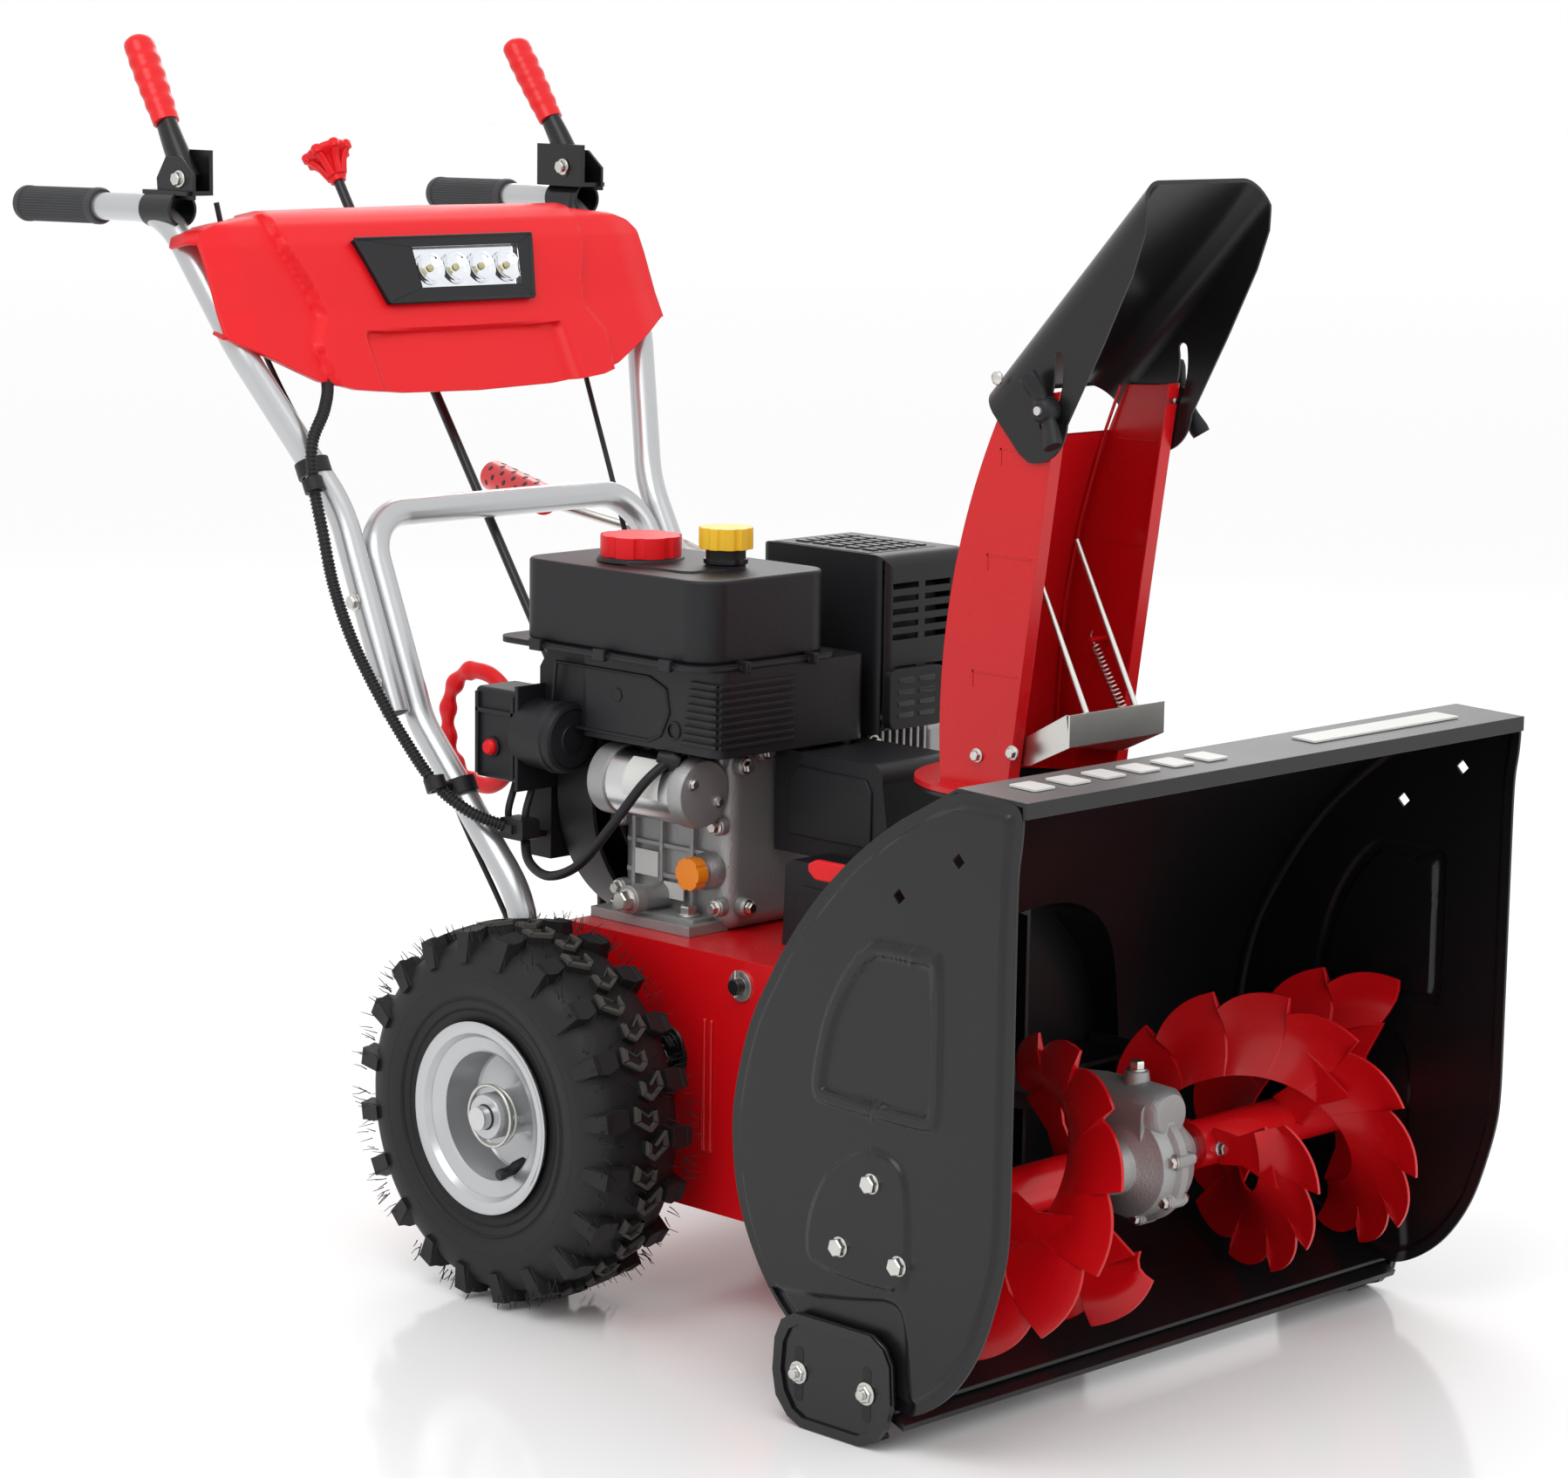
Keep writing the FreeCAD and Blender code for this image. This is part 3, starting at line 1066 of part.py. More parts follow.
def lamp():
    """Trapezoid lamp bezel with four reflectors, and the clear lens over them."""
    def plate(half_low, half_high, low, high, depth_from, depth_to):
        base = Vector(0, 985, 820)
        up = Vector(0, 0.56, 0.83).normalize()
        out = Vector(0, -0.83, 0.56).normalize()
        corners = [base + up * low + X * -half_low, base + up * low + X * half_low,
                   base + up * high + X * half_high, base + up * high + X * -half_high]
        corners = [corner + out * depth_from for corner in corners]
        return Part.Face(Part.makePolygon(corners + corners[:1])).extrude(out * (depth_to - depth_from))
    bezel = plate(96, 108, -22, 44, 2, 22).cut(plate(66, 76, -12, 34, 12, 30))
    node("lamp_bezel", solid("lamp_bezel", bezel))
    node("lamp_lens", solid("lamp_lens", plate(65.5, 75.5, -11.5, 33.5, 12, 16)))


def shift_controls():
    """Speed lever in the console's slot, its lobed knob, and the rod down to the transmission."""
    pivot = Vector(0, 1068, 800)
    top = Vector(0, 1158, 935)
    axis = (top - pivot).normalize()
    lever = Part.makeCylinder(5, (top - pivot).Length - 8, pivot, axis)
    eye = Part.makeCylinder(9, 13, pivot - X * 6.5, X)
    node("shift_lever", solid("shift_lever", lever.fuse(eye).removeSplitter()))
    knob = Part.makeSphere(19, top).common(Part.makeBox(60, 60, 60, top - Vector(30, 30, 19)))
    knob = knob.cut(Part.makeCylinder(5, 30, top - axis * 38, axis))
    node("shift_knob", solid("shift_knob", knob))
    rod = tube([(0, 1046, 786), (0, 778, 397), (0, 773, 242)], [60], 4.5)
    pin = Part.makeCylinder(3.5, 22, Vector(-7, 773, 242), X)
    node("shift_rod", solid("shift_rod", rod.fuse([Part.makeCylinder(7, 9, Vector(-4.5, 773, 242), X), pin])))


def cables():
    """Control cables, and the lamp loom with its connector."""
    node("control_cables", group("control_cables",
                                 solid("drive_cable", cable("drive cable", cable_route(RIGHT), 2.5)),
                                 solid("auger_cable", cable("auger cable", cable_route(LEFT), 2.5))))
    tube_piece = solid("loom_tube", cable("lamp loom", LOOM_ROUTE, 5))
    plug = solid("loom_plug", Part.makeBox(18, 28, 18, Vector(-172, 690, 372)))
    node("lamp_loom", group("lamp_loom", tube_piece, plug))


def fasteners():
    """Every plain hexagon bolt and nut of the housing, chute, frame, engine and handles."""
    plate = size("half_width")
    spots = []
    for side in (RIGHT, LEFT):
        axis = X * side
        for angle in (90, 210, 330):
            y = size("auger_y") + 38 * math.cos(math.radians(angle + 2))
            z = size("auger_z") + 38 * math.sin(math.radians(angle + 2))
            spots.append(((side * (plate + 6.0), y, z), axis, 13))
        for y in (134, 206):
            spots.append(((side * (plate + 6.3), y, 43), axis, 15))
        leg = size("frame_half") + size("handle_radius")
        for reach, y, z in ((leg + 33.2, 877, 563), (leg + 36.3, 842.8, 494)):
            spots.append(((side * reach, y, z), axis, 13))
        for y in (550, 625):
            spots.append(((side * 108, y, size("pan_top") + 12), Z, 13))
    bolts = [solid(f"bolt_{index}", hex_bolt(at, axis, across, shank=6.3 if across == 15 else 0))
             for index, (at, axis, across) in enumerate(spots)]
    node("hex_bolts", group("hex_bolts", *bolts))


def clearing_tool():
    """Red stick with a paddle, clipped behind the housing, for clearing a blocked chute."""
    paddle = rounded("paddle", box("paddle_raw", ("-186", "318", "388"), ("6", "44", "32")), 2.5, "xyz")
    stick = box("stick", ("-185", "226", "398"), ("4", "94", "12"))
    clip = box("stick_clip", ("-190", "205", "394"), ("14", "24", "20"))
    whole = fuse("tool_whole", paddle, stick, clip)
    node("clearing_tool", cut("clearing_tool", whole, doc.getObject("housing_space")))


def build():
    auger_housing()
    auger_bearings()
    skid_shoe(RIGHT, "skid_shoe_right")
    skid_shoe(LEFT, "skid_shoe_left")
    auger_assembly()
    gearbox()
    impeller_assembly()
    chute()
    deflector_hood()
    wing_knob(RIGHT, "wing_knob_right")
    wing_knob(LEFT, "wing_knob_left")
    chute_guard()
    chute_crank()
    frame_box()
    bushings()
    wheels()
    tyres()
    hub_pins()
    traction_drive()
    belts_and_cover()
    crankcase()
    cylinder()
    crankshaft()
    blower_housing()
    starter()
    recoil_handle()
    fuel_tank()
    engine_shroud()
    muffler_guard()
    caps()
    handles()
    control_brackets()
    control_levers()
    console()
    lamp()
    shift_controls()
    cables()
    fasteners()
    clearing_tool()


def export():
    """Check every object, then write one STEP file per sub-part."""
    doc.recompute()
    for item in doc.Objects:
        if "Invalid" in item.State or "Error" in item.State:
            raise RuntimeError(f"{item.Label} failed: {item.State}")
    os.makedirs("parts", exist_ok=True)
    whole = FreeCAD.BoundBox()
    for name, item in nodes.items():
        shape = item.Shape.copy()
        if shape.isNull() or not shape.isValid() or not shape.Solids:
            raise RuntimeError(f"{name} has no valid solid")
        shape.translate(Vector(0, -size("mid_length"), 0))
        whole.add(shape.BoundBox)
        shape.exportStep(f"parts/{name}.step")
    print(f"{len(nodes)} sub-parts, box {whole}")


build()
export()
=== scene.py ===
import json
import random
import bmesh
import bpy
from math import cos, dist, hypot, pi, radians, sin, sqrt, tau
from mathutils import Matrix, Vector

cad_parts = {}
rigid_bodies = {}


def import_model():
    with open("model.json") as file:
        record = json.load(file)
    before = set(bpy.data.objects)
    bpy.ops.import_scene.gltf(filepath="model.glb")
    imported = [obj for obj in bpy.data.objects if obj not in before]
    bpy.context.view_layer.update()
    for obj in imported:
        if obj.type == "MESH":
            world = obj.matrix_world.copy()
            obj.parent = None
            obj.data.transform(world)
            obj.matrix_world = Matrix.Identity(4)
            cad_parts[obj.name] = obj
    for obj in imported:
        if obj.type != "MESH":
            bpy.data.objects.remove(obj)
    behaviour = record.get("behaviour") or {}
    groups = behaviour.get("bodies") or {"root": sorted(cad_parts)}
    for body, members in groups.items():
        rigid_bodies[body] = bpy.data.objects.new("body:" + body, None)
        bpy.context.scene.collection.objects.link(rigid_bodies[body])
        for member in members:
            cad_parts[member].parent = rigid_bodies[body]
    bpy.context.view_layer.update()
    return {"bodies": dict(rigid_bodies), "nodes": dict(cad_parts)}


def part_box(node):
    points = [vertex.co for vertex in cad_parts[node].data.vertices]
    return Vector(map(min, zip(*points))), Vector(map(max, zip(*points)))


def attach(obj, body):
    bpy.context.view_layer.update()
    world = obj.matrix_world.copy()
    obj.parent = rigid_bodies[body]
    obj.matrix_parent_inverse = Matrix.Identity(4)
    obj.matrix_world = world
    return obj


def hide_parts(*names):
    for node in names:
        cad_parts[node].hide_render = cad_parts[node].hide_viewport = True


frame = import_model()
NODES = frame["nodes"]
MM = 0.001
MID = 645.0
random.seed(11)


def at(x, y, z):
    """A point of the machine, in millimetres from the housing's front edge, in the row frame."""
    return Vector((x, y - MID, z)) * MM


# ------------------------------------------------------------------ materials

def material(name, color, rough, metal=0.0, coat=0.0, grain=0.0, grain_size=600.0, spread=0.06, edge=0.7,
             shine=0.5):
    """A surface with slightly uneven gloss, an optional fine grain and softly rounded edges."""
    made = bpy.data.materials.new(name)
    made.use_nodes = True
    tree = made.node_tree
    shader = tree.nodes["Principled BSDF"]
    shader.inputs["Base Color"].default_value = (*color, 1)
    shader.inputs["Metallic"].default_value = metal
    shader.inputs["Coat Weight"].default_value = coat
    shader.inputs["Coat Roughness"].default_value = 0.12
    shader.inputs["Specular IOR Level"].default_value = shine
    place = tree.nodes.new("ShaderNodeTexCoord")
    cloud = tree.nodes.new("ShaderNodeTexNoise")
    cloud.inputs["Scale"].default_value = 9
    cloud.inputs["Detail"].default_value = 5
    tree.links.new(place.outputs["Object"], cloud.inputs["Vector"])
    gloss = tree.nodes.new("ShaderNodeMapRange")
    gloss.inputs["To Min"].default_value = max(0.02, rough - spread)
    gloss.inputs["To Max"].default_value = rough + spread
    tree.links.new(cloud.outputs["Fac"], gloss.inputs["Value"])
    tree.links.new(gloss.outputs["Result"], shader.inputs["Roughness"])
    normal = None
    if edge:
        bevel = tree.nodes.new("ShaderNodeBevel")
        bevel.samples = 4
        bevel.inputs["Radius"].default_value = edge * MM
        normal = bevel.outputs["Normal"]
    if grain:
        fine = tree.nodes.new("ShaderNodeTexNoise")
        fine.inputs["Scale"].default_value = grain_size
        fine.inputs["Detail"].default_value = 3
        tree.links.new(place.outputs["Object"], fine.inputs["Vector"])
        bump = tree.nodes.new("ShaderNodeBump")
        bump.inputs["Strength"].default_value = grain
        bump.inputs["Distance"].default_value = 0.0006
        tree.links.new(fine.outputs["Fac"], bump.inputs["Height"])
        if normal:
            tree.links.new(normal, bump.inputs["Normal"])
        normal = bump.outputs["Normal"]
    if normal:
        tree.links.new(normal, shader.inputs["Normal"])
    return made


RED = material("red_paint", (0.56, 0.003, 0.006), 0.27, coat=0.12, grain=0.05, grain_size=260, edge=0.9,
    shine=0.35)
RED_MOULD = material("red_moulding", (0.72, 0.006, 0.011), 0.38, grain=0.10, grain_size=900, edge=1.2,
    shine=0.28)
RED_DIP = material("red_dip", (0.70, 0.006, 0.009), 0.30, coat=0.1, edge=1.0, shine=0.35)
# Real black paint of the housing and brackets; it is also laid on the red impeller as painted shade.
BLACK = material("black_paint", (0.006, 0.006, 0.007), 0.30, grain=0.08, grain_size=500, edge=1.0,
    shine=0.4)
BLACK_GLOSS = material("black_gloss", (0.006, 0.006, 0.007), 0.2, coat=0.1, shine=0.4)
MOULD = material("black_moulding", (0.009, 0.009, 0.011), 0.44, grain=0.30, grain_size=1400, edge=1.4,
    shine=0.32)
ZINC = material("zinc", (0.62, 0.61, 0.58), 0.32, metal=1.0, spread=0.12, grain=0.05, grain_size=350)
STEEL = material("bright_steel", (0.60, 0.60, 0.60), 0.26, metal=1.0, spread=0.08)
SILVER = material("silver_paint", (0.50, 0.51, 0.52), 0.30, metal=0.75, coat=0.4, spread=0.05, grain=0.04)
CAST = material("cast_metal", (0.36, 0.36, 0.36), 0.46, metal=0.65, grain=0.6, grain_size=480, edge=1.6)
CAST_DARK = material("cast_dark", (0.17, 0.17, 0.17), 0.5, metal=0.5, grain=0.5, grain_size=420, edge=1.2)
TYRE = material("tyre_rubber", (0.009, 0.009, 0.010), 0.58, grain=0.25, grain_size=420, edge=0.8,
    shine=0.35)
TYRE_WORN = material("tyre_edges", (0.055, 0.052, 0.046), 0.75, grain=0.3, grain_size=300)
RUBBER = material("grip_rubber", (0.035, 0.036, 0.040), 0.58, grain=0.2, grain_size=900)
YELLOW = material("yellow_moulding", (0.85, 0.50, 0.015), 0.36, grain=0.1, grain_size=900)
ORANGE = material("orange_moulding", (0.85, 0.24, 0.01), 0.36, grain=0.1, grain_size=900)
LABEL = material("blank_label", (0.62, 0.62, 0.60), 0.45, edge=0)
YELLOW_CHIP = material("lamp_chip", (0.75, 0.66, 0.30), 0.4, edge=0)
MIRROR = material("reflector", (0.93, 0.94, 0.95), 0.08, metal=1.0, edge=0)


def clear_plastic():
    made = bpy.data.materials.new("clear_lens")
    made.use_nodes = True
    shader = made.node_tree.nodes["Principled BSDF"]
    shader.inputs["Base Color"].default_value = (0.97, 0.98, 1.0, 1)
    shader.inputs["Roughness"].default_value = 0.03
    shader.inputs["Transmission Weight"].default_value = 1.0
    shader.inputs["IOR"].default_value = 1.3
    return made


LENS = clear_plastic()

# ------------------------------------------------------------------ building pieces


def finish_mesh(name, mesh, look, body, replaced=(), smooth=35.0):
    """Wrap a mesh, made in millimetres of the machine, as a piece that rides on a body."""
    for vertex in mesh.verts:
        vertex.co = at(*vertex.co)
    bmesh.ops.recalc_face_normals(mesh, faces=mesh.faces)
    data = bpy.data.meshes.new(name)
    mesh.to_mesh(data)
    mesh.free()
    piece = bpy.data.objects.new(name, data)
    bpy.context.scene.collection.objects.link(piece)
    looks = look if isinstance(look, (list, tuple)) else [look]
    for one in looks:
        data.materials.append(one)
    if smooth:
        data.shade_smooth()
        data.set_sharp_from_angle(angle=radians(smooth))
    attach(piece, body)
    if replaced:
        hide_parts(*replaced)
    return piece


def bevelled(piece, width, segments=2):
    step = piece.modifiers.new("edges", "BEVEL")
    step.width = width * MM
    step.segments = segments
    step.limit_method = "ANGLE"
    step.angle_limit = radians(32)
    return piece


def add_prism(mesh, outline, low, high, axis="x", look=0, taper=0.0):
    """Extrude a flat outline along an axis. The outline's pairs are (y,z), (x,z) or (x,y)."""
    centre = Vector((sum(p[0] for p in outline), sum(p[1] for p in outline))) / len(outline)

    def spot(pair, depth, shrink):
        a = centre.x + (pair[0] - centre.x) * (1 - shrink)
        b = centre.y + (pair[1] - centre.y) * (1 - shrink)
        return {"x": (depth, a, b), "y": (a, depth, b), "z": (a, b, depth)}[axis]
    first = [mesh.verts.new(spot(pair, low, 0)) for pair in outline]
    last = [mesh.verts.new(spot(pair, high, taper)) for pair in outline]
    faces = [mesh.faces.new(first), mesh.faces.new(list(reversed(last)))]
    for index in range(len(outline)):
        after = (index + 1) % len(outline)
        faces.append(mesh.faces.new((first[index], first[after], last[after], last[index])))
    for face in faces:
        face.material_index = look
    return first + last


def add_box(mesh, low, high, look=0):
    outline = [(low[1], low[2]), (high[1], low[2]), (high[1], high[2]), (low[1], high[2])]
    return add_prism(mesh, outline, low[0], high[0], "x", look)


def rounded_outline(half_a, half_b, radius, steps=6, centre=(0, 0)):
    """A rounded rectangle's outline."""
    points = []
    for quarter, (sign_a, sign_b) in enumerate(((1, 1), (-1, 1), (-1, -1), (1, -1))):
        for step in range(steps + 1):
            angle = radians(90 * quarter + 90 * step / steps)
            points.append((centre[0] + sign_a * (half_a - radius) + radius * cos(angle),
                           centre[1] + sign_b * (half_b - radius) + radius * sin(angle)))
    return points


def add_lathe(mesh, profile, origin, axis, segments=48, look=0, closed=False):
    """Turn (along, radius) pairs about an axis through a point."""
    axis = Vector(axis).normalized()
    side = axis.orthogonal().normalized()
    other = axis.cross(side)
    rings = []
    for along, radius in profile:
        centre = Vector(origin) + axis * along
        if radius < 1e-6:
            rings.append([mesh.verts.new(centre)])
            continue
        rings.append([mesh.verts.new(centre + (side * cos(turn) + other * sin(turn)) * radius)
                      for turn in (tau * index / segments for index in range(segments))])
    pairs = list(zip(rings, rings[1:]))
    if closed:
        pairs.append((rings[-1], rings[0]))
    for first, last in pairs:
        for index in range(segments):
            after = (index + 1) % segments
            corners = []
            for vertex in (first[index % len(first)], first[after % len(first)],
                           last[after % len(last)], last[index % len(last)]):
                if vertex not in corners:
                    corners.append(vertex)
            if len(corners) > 2:
                mesh.faces.new(corners).material_index = look


def smooth_path(points, per_run=8):
    """A Catmull-Rom line through the points."""
    knots = [Vector(point) for point in points]
    knots = [knots[0] * 2 - knots[1]] + knots + [knots[-1] * 2 - knots[-2]]
    path = []
    for a, b, c, d in zip(knots, knots[1:], knots[2:], knots[3:]):
        for step in range(per_run):
            t = step / per_run
            path.append(0.5 * ((2 * b) + (c - a) * t + (2 * a - 5 * b + 4 * c - d) * t ** 2
                               + (3 * b - a - 3 * c + d) * t ** 3))
    path.append(knots[-2])
    return path


def add_tube(mesh, path, radius, sides=16, look=0, flat=(1.0, 1.0), wide=None):
    """Sweep a circle or an oval along a path; radius may be a function of the share of the path."""
    path = [Vector(point) for point in path]
    reach = [0.0]
    for before, after in zip(path, path[1:]):
        reach.append(reach[-1] + (after - before).length)
    up = wide.normalized() if wide else None
    rings = []
    for index, point in enumerate(path):
        heading = (path[min(index + 1, len(path) - 1)] - path[max(index - 1, 0)]).normalized()
        if up is None:
            up = heading.orthogonal().normalized()
        up = (up - heading * up.dot(heading)).normalized()
        other = heading.cross(up)
        size = radius(reach[index] / reach[-1]) if callable(radius) else radius
        rings.append([mesh.verts.new(point + up * cos(turn) * size * flat[0]
                                     + other * sin(turn) * size * flat[1])
                      for turn in (tau * side / sides for side in range(sides))])
    for first, last in zip(rings, rings[1:]):
        for side in range(sides):
            after = (side + 1) % sides
            mesh.faces.new((first[side], first[after], last[after], last[side])).material_index = look
    mesh.faces.new(rings[0]).material_index = look
    mesh.faces.new(list(reversed(rings[-1]))).material_index = look


def add_bolt(mesh, spot, axis, across=13.0, height=5.5, washer=9.0, look=0, thread=0.0):
    """A hexagon head on a washer, with an optional threaded end standing out of it."""
    add_lathe(mesh, [(0, 0), (0, washer), (1.3, washer), (1.6, washer - 0.5), (1.6, 0)], spot, axis, 28,
        look)
    base = Vector(spot) + Vector(axis).normalized() * 1.6
    radius = across / sqrt(3)
    add_lathe(mesh, [(0, 0), (0, radius), (height - 1, radius), (height, radius * 0.86), (height, 0)],
              base, axis, 6, look)
    if thread:
        stud = [(0, 0)]
        for turn in range(int(thread / 0.7)):
            stud += [(height + turn * 0.7, 3.6), (height + turn * 0.7 + 0.35, 4.0)]
        add_lathe(mesh, stud + [(height + thread, 0)], base, axis, 20, look)


# The impeller takes black paint as painted shade: the impeller is red, and the black stands for the shade
# it sits in inside its housing.
FINISH_AND_PAINTED_SHADE = ((BLACK, 0,
    "housing_shell scraper_bar impeller_housing impeller control_brackets shift_rod shift_lever"), (STEEL,
    0, "impeller_shaft axle friction_wheel crankshaft friction_disc"), (RED, 0, "chute frame_box"),
    (BLACK, 0.8, "deflector_hood"), (ZINC, 0.6, "chute_guard"), (ZINC, 0, "crank_rod hub_pins"), (SILVER,
    0, "wheel_rims lower_handle upper_tubes"), (MOULD, 0,
    "bushings belt_cover blower_housing engine_shroud fuel_tank switch_box muffler_guard control_cables"),
    (RUBBER, 0, "drive_belts"), (CAST, 1.0, "crankcase"), (CAST, 0, "cylinder_head"), (RED_MOULD, 1.4,
    "fuel_cap"), (YELLOW, 1.2, "oil_filler_cap"), (ORANGE, 1.2, "dipstick"), (RED_MOULD, 0,
    "starter_button"), (RED_DIP, 0, "crank_handle"), )


def dress():
    """Give the pieces that stay in view their finish, and some of them rounded edges; the impeller gets
    black paint as painted shade over its red.
    """
    for look, edge, names in FINISH_AND_PAINTED_SHADE:
        for name in names.split():
            piece = NODES[name]
            piece.data.materials.clear()
            piece.data.materials.append(look)
            if edge:
                bevelled(piece, edge)


# ------------------------------------------------------------------ auger housing

SIDE_CORNERS = [(-4, 515), (-3, 487), (1, 464), (1, 270), (1, 177), (20, 112), (36, 81), (57, 55), (84,
    36), (105, 29), (160, 44), (204, 64), (230, 80), (248, 98), (266, 124), (277.5, 147), (286, 172),
    (290, 198), (291.5, 225), (289, 250), (280, 287), (271, 312), (261.5, 331), (234, 377), (207, 412),
    (179.5, 440), (144, 470), (117, 488.5), (65, 517), (30, 519)]


def eased(outline, rounds=2):
    """An outline with each corner cut back to a short curve."""
    for _ in range(rounds):
        softer = []
        for first, last in zip(outline, outline[1:] + outline[:1]):
            cut = min(0.25, 14 / dist(first, last))
            softer += [(first[0] + (last[0] - first[0]) * share, first[1] + (last[1] - first[1]) * share)
                       for share in (cut, 1 - cut)]
        outline = softer
    return outline


SIDE_OUTLINE = eased(SIDE_CORNERS, 3)


def resampled(outline, spacing):
    """Points along a closed outline at an even spacing."""
    points = []
    for first, last in zip(outline, outline[1:] + outline[:1]):
        run = dist(first, last)
        count = max(1, round(run / spacing))
        for step in range(count):
            share = step / count
            points.append((first[0] + (last[0] - first[0]) * share,
                first[1] + (last[1] - first[1]) * share))
    return points


def to_outline(point, outline):
    """Distance from a point to an outline, negative inside it."""
    nearest = 1e9
    inside = False
    for (ax, ay), (bx, by) in zip(outline, outline[1:] + outline[:1]):
        dx, dy = bx - ax, by - ay
        share = max(0.0, min(1.0, ((point[0] - ax) * dx + (point[1] - ay) * dy) / (dx * dx + dy * dy)))
        nearest = min(nearest, hypot(point[0] - ax - share * dx, point[1] - ay - share * dy))
        if (ay > point[1]) != (by > point[1]) and point[0] < (bx - ax) * (point[1] - ay) / (by - ay) + ax:
            inside = not inside
    return -nearest if inside else nearest


def ramp(value, low, high):
    share = max(0.0, min(1.0, (value - low) / (high - low)))
    return share * share * (3 - 2 * share)


UPPER_BOSS = eased([(136, 392), (76, 392), (70, 386), (70, 266), (78, 259), (192, 261), (199, 268), (196,
    292), (186, 330), (166, 366), (145, 388)])
BOLT_BOSS = eased([(150, 228), (118, 232), (100, 214), (99, 138), (106, 130), (150, 128), (196, 134),
                   (203, 142), (198, 176), (180, 208)], 3)
SKID_BAY = eased([(252, 96), (240, 102), (205, 104), (150, 112), (110, 120), (100, 100), (97, 60), (92,
    30), (130, 20), (250, 40)], 3)


def side_height(point):
    """How far the side plate's pressing stands out at a point."""
    height = 3.6 * ramp(-to_outline(point, SIDE_OUTLINE), 9, 12)
    upper = -to_outline(point, UPPER_BOSS)
    height += 3.0 * ramp(upper, -3, 0) - 4.0 * ramp(upper, 7, 10)
    lower = -to_outline(point, BOLT_BOSS)
    height += 3.0 * ramp(lower, -3, 0)
    height -= 3.6 * ramp(-to_outline(point, SKID_BAY), -3, 2)
    return height


def side_plate(side):
    """A pressed side plate: raised panel, blank boss, bearing boss and the bay for the skid shoe."""
    rim = resampled(SIDE_OUTLINE, 3.2)
    centre = (140.0, 250.0)
    rings = 92
    mesh = bmesh.new()
    layers = []
    for gauge in (0.0, -2.5):
        middle = mesh.verts.new((side * (307.6 + gauge + side_height(centre)), *centre))
        grid = []
        for ring in range(1, rings + 1):
            share = (ring / rings) ** 0.9
            line = []
            for point in rim:
                y = centre[0] + (point[0] - centre[0]) * share
                z = centre[1] + (point[1] - centre[1]) * share
                line.append(mesh.verts.new((side * (307.6 + gauge + side_height((y, z))), y, z)))
            grid.append(line)
        layers.append((middle, grid))
        count = len(rim)
        for index in range(count):
            after = (index + 1) % count
            mesh.faces.new((middle, grid[0][index], grid[0][after]))
            for inner, outer in zip(grid, grid[1:]):
                mesh.faces.new((inner[index], inner[after], outer[after], outer[index]))
    top, bottom = layers[0][1][-1], layers[1][1][-1]
    for index in range(len(rim)):
        after = (index + 1) % len(rim)
        mesh.faces.new((top[index], top[after], bottom[after], bottom[index]))
    name = "side_plate_right" if side < 0 else "side_plate_left"
    piece = finish_mesh(name, mesh, BLACK, "chassis", ("housing_sides",), 40)
    cutters = bmesh.new()
    for y, z in ((55, 466.5), (114, 431)):
        add_prism(cutters, [(y - 6.2, z), (y, z - 6.2), (y + 6.2, z), (y, z + 6.2)], side * 290,
            side * 330)
    tool = finish_mesh(name + "_holes", cutters, BLACK, "chassis", smooth=0)
    tool.hide_render = True
    tool.hide_viewport = True
    holes = piece.modifiers.new("square_holes", "BOOLEAN")
    holes.object = tool
    holes.solver = "EXACT"
    bpy.context.view_layer.update()
    graph = bpy.context.evaluated_depsgraph_get()
    final = bpy.data.meshes.new_from_object(piece.evaluated_get(graph))
    piece.modifiers.clear()
    piece.data = final
    bpy.data.objects.remove(tool)
    return piece


def housing():
    for side in (-1, 1):
        side_plate(side)
    mesh = bmesh.new()
    add_prism(mesh, [(-5.9, 507), (-5.9, 517.3), (62, 519.6), (62, 519.1), (-5.5, 516.9), (-5.5, 507)],
        -306, 306, "x")
    finish_mesh("rail_facing", mesh, CAST_DARK, "chassis")
    mesh = bmesh.new()
    for index, (low, high) in enumerate(((-272, -248), (-232, -208), (-192, -168), (-152, -128), (-112,
            -88), (-72, -48), (60, 250))):
        half = (high - low) / 2
        wide = 26 if index < 6 else 24
        outline = rounded_outline(half, wide / 2, 2, 3, ((low + high) / 2, 30))
        first = add_prism(mesh, outline, 518.0, 519.5, "z")
        for vertex in first:
            vertex.co.z += (vertex.co.y + 6) * 0.03
    finish_mesh("rail_label_blanks", mesh, LABEL, "chassis")
    mesh = bmesh.new()
    for side in (-1, 1):
        for y, z in ((135, 207), (167, 151), (105.5, 149)):
            add_bolt(mesh, (side * 313, y, z), (side, 0, 0), 13, 5.5, 8)
        for y in (134, 206):
            add_bolt(mesh, (side * 316.2, y, 43), (side, 0, 0), 13, 3.2, 9, 0, 4)
    finish_mesh("housing_bolts", mesh, ZINC, "chassis", ("auger_bearings",))


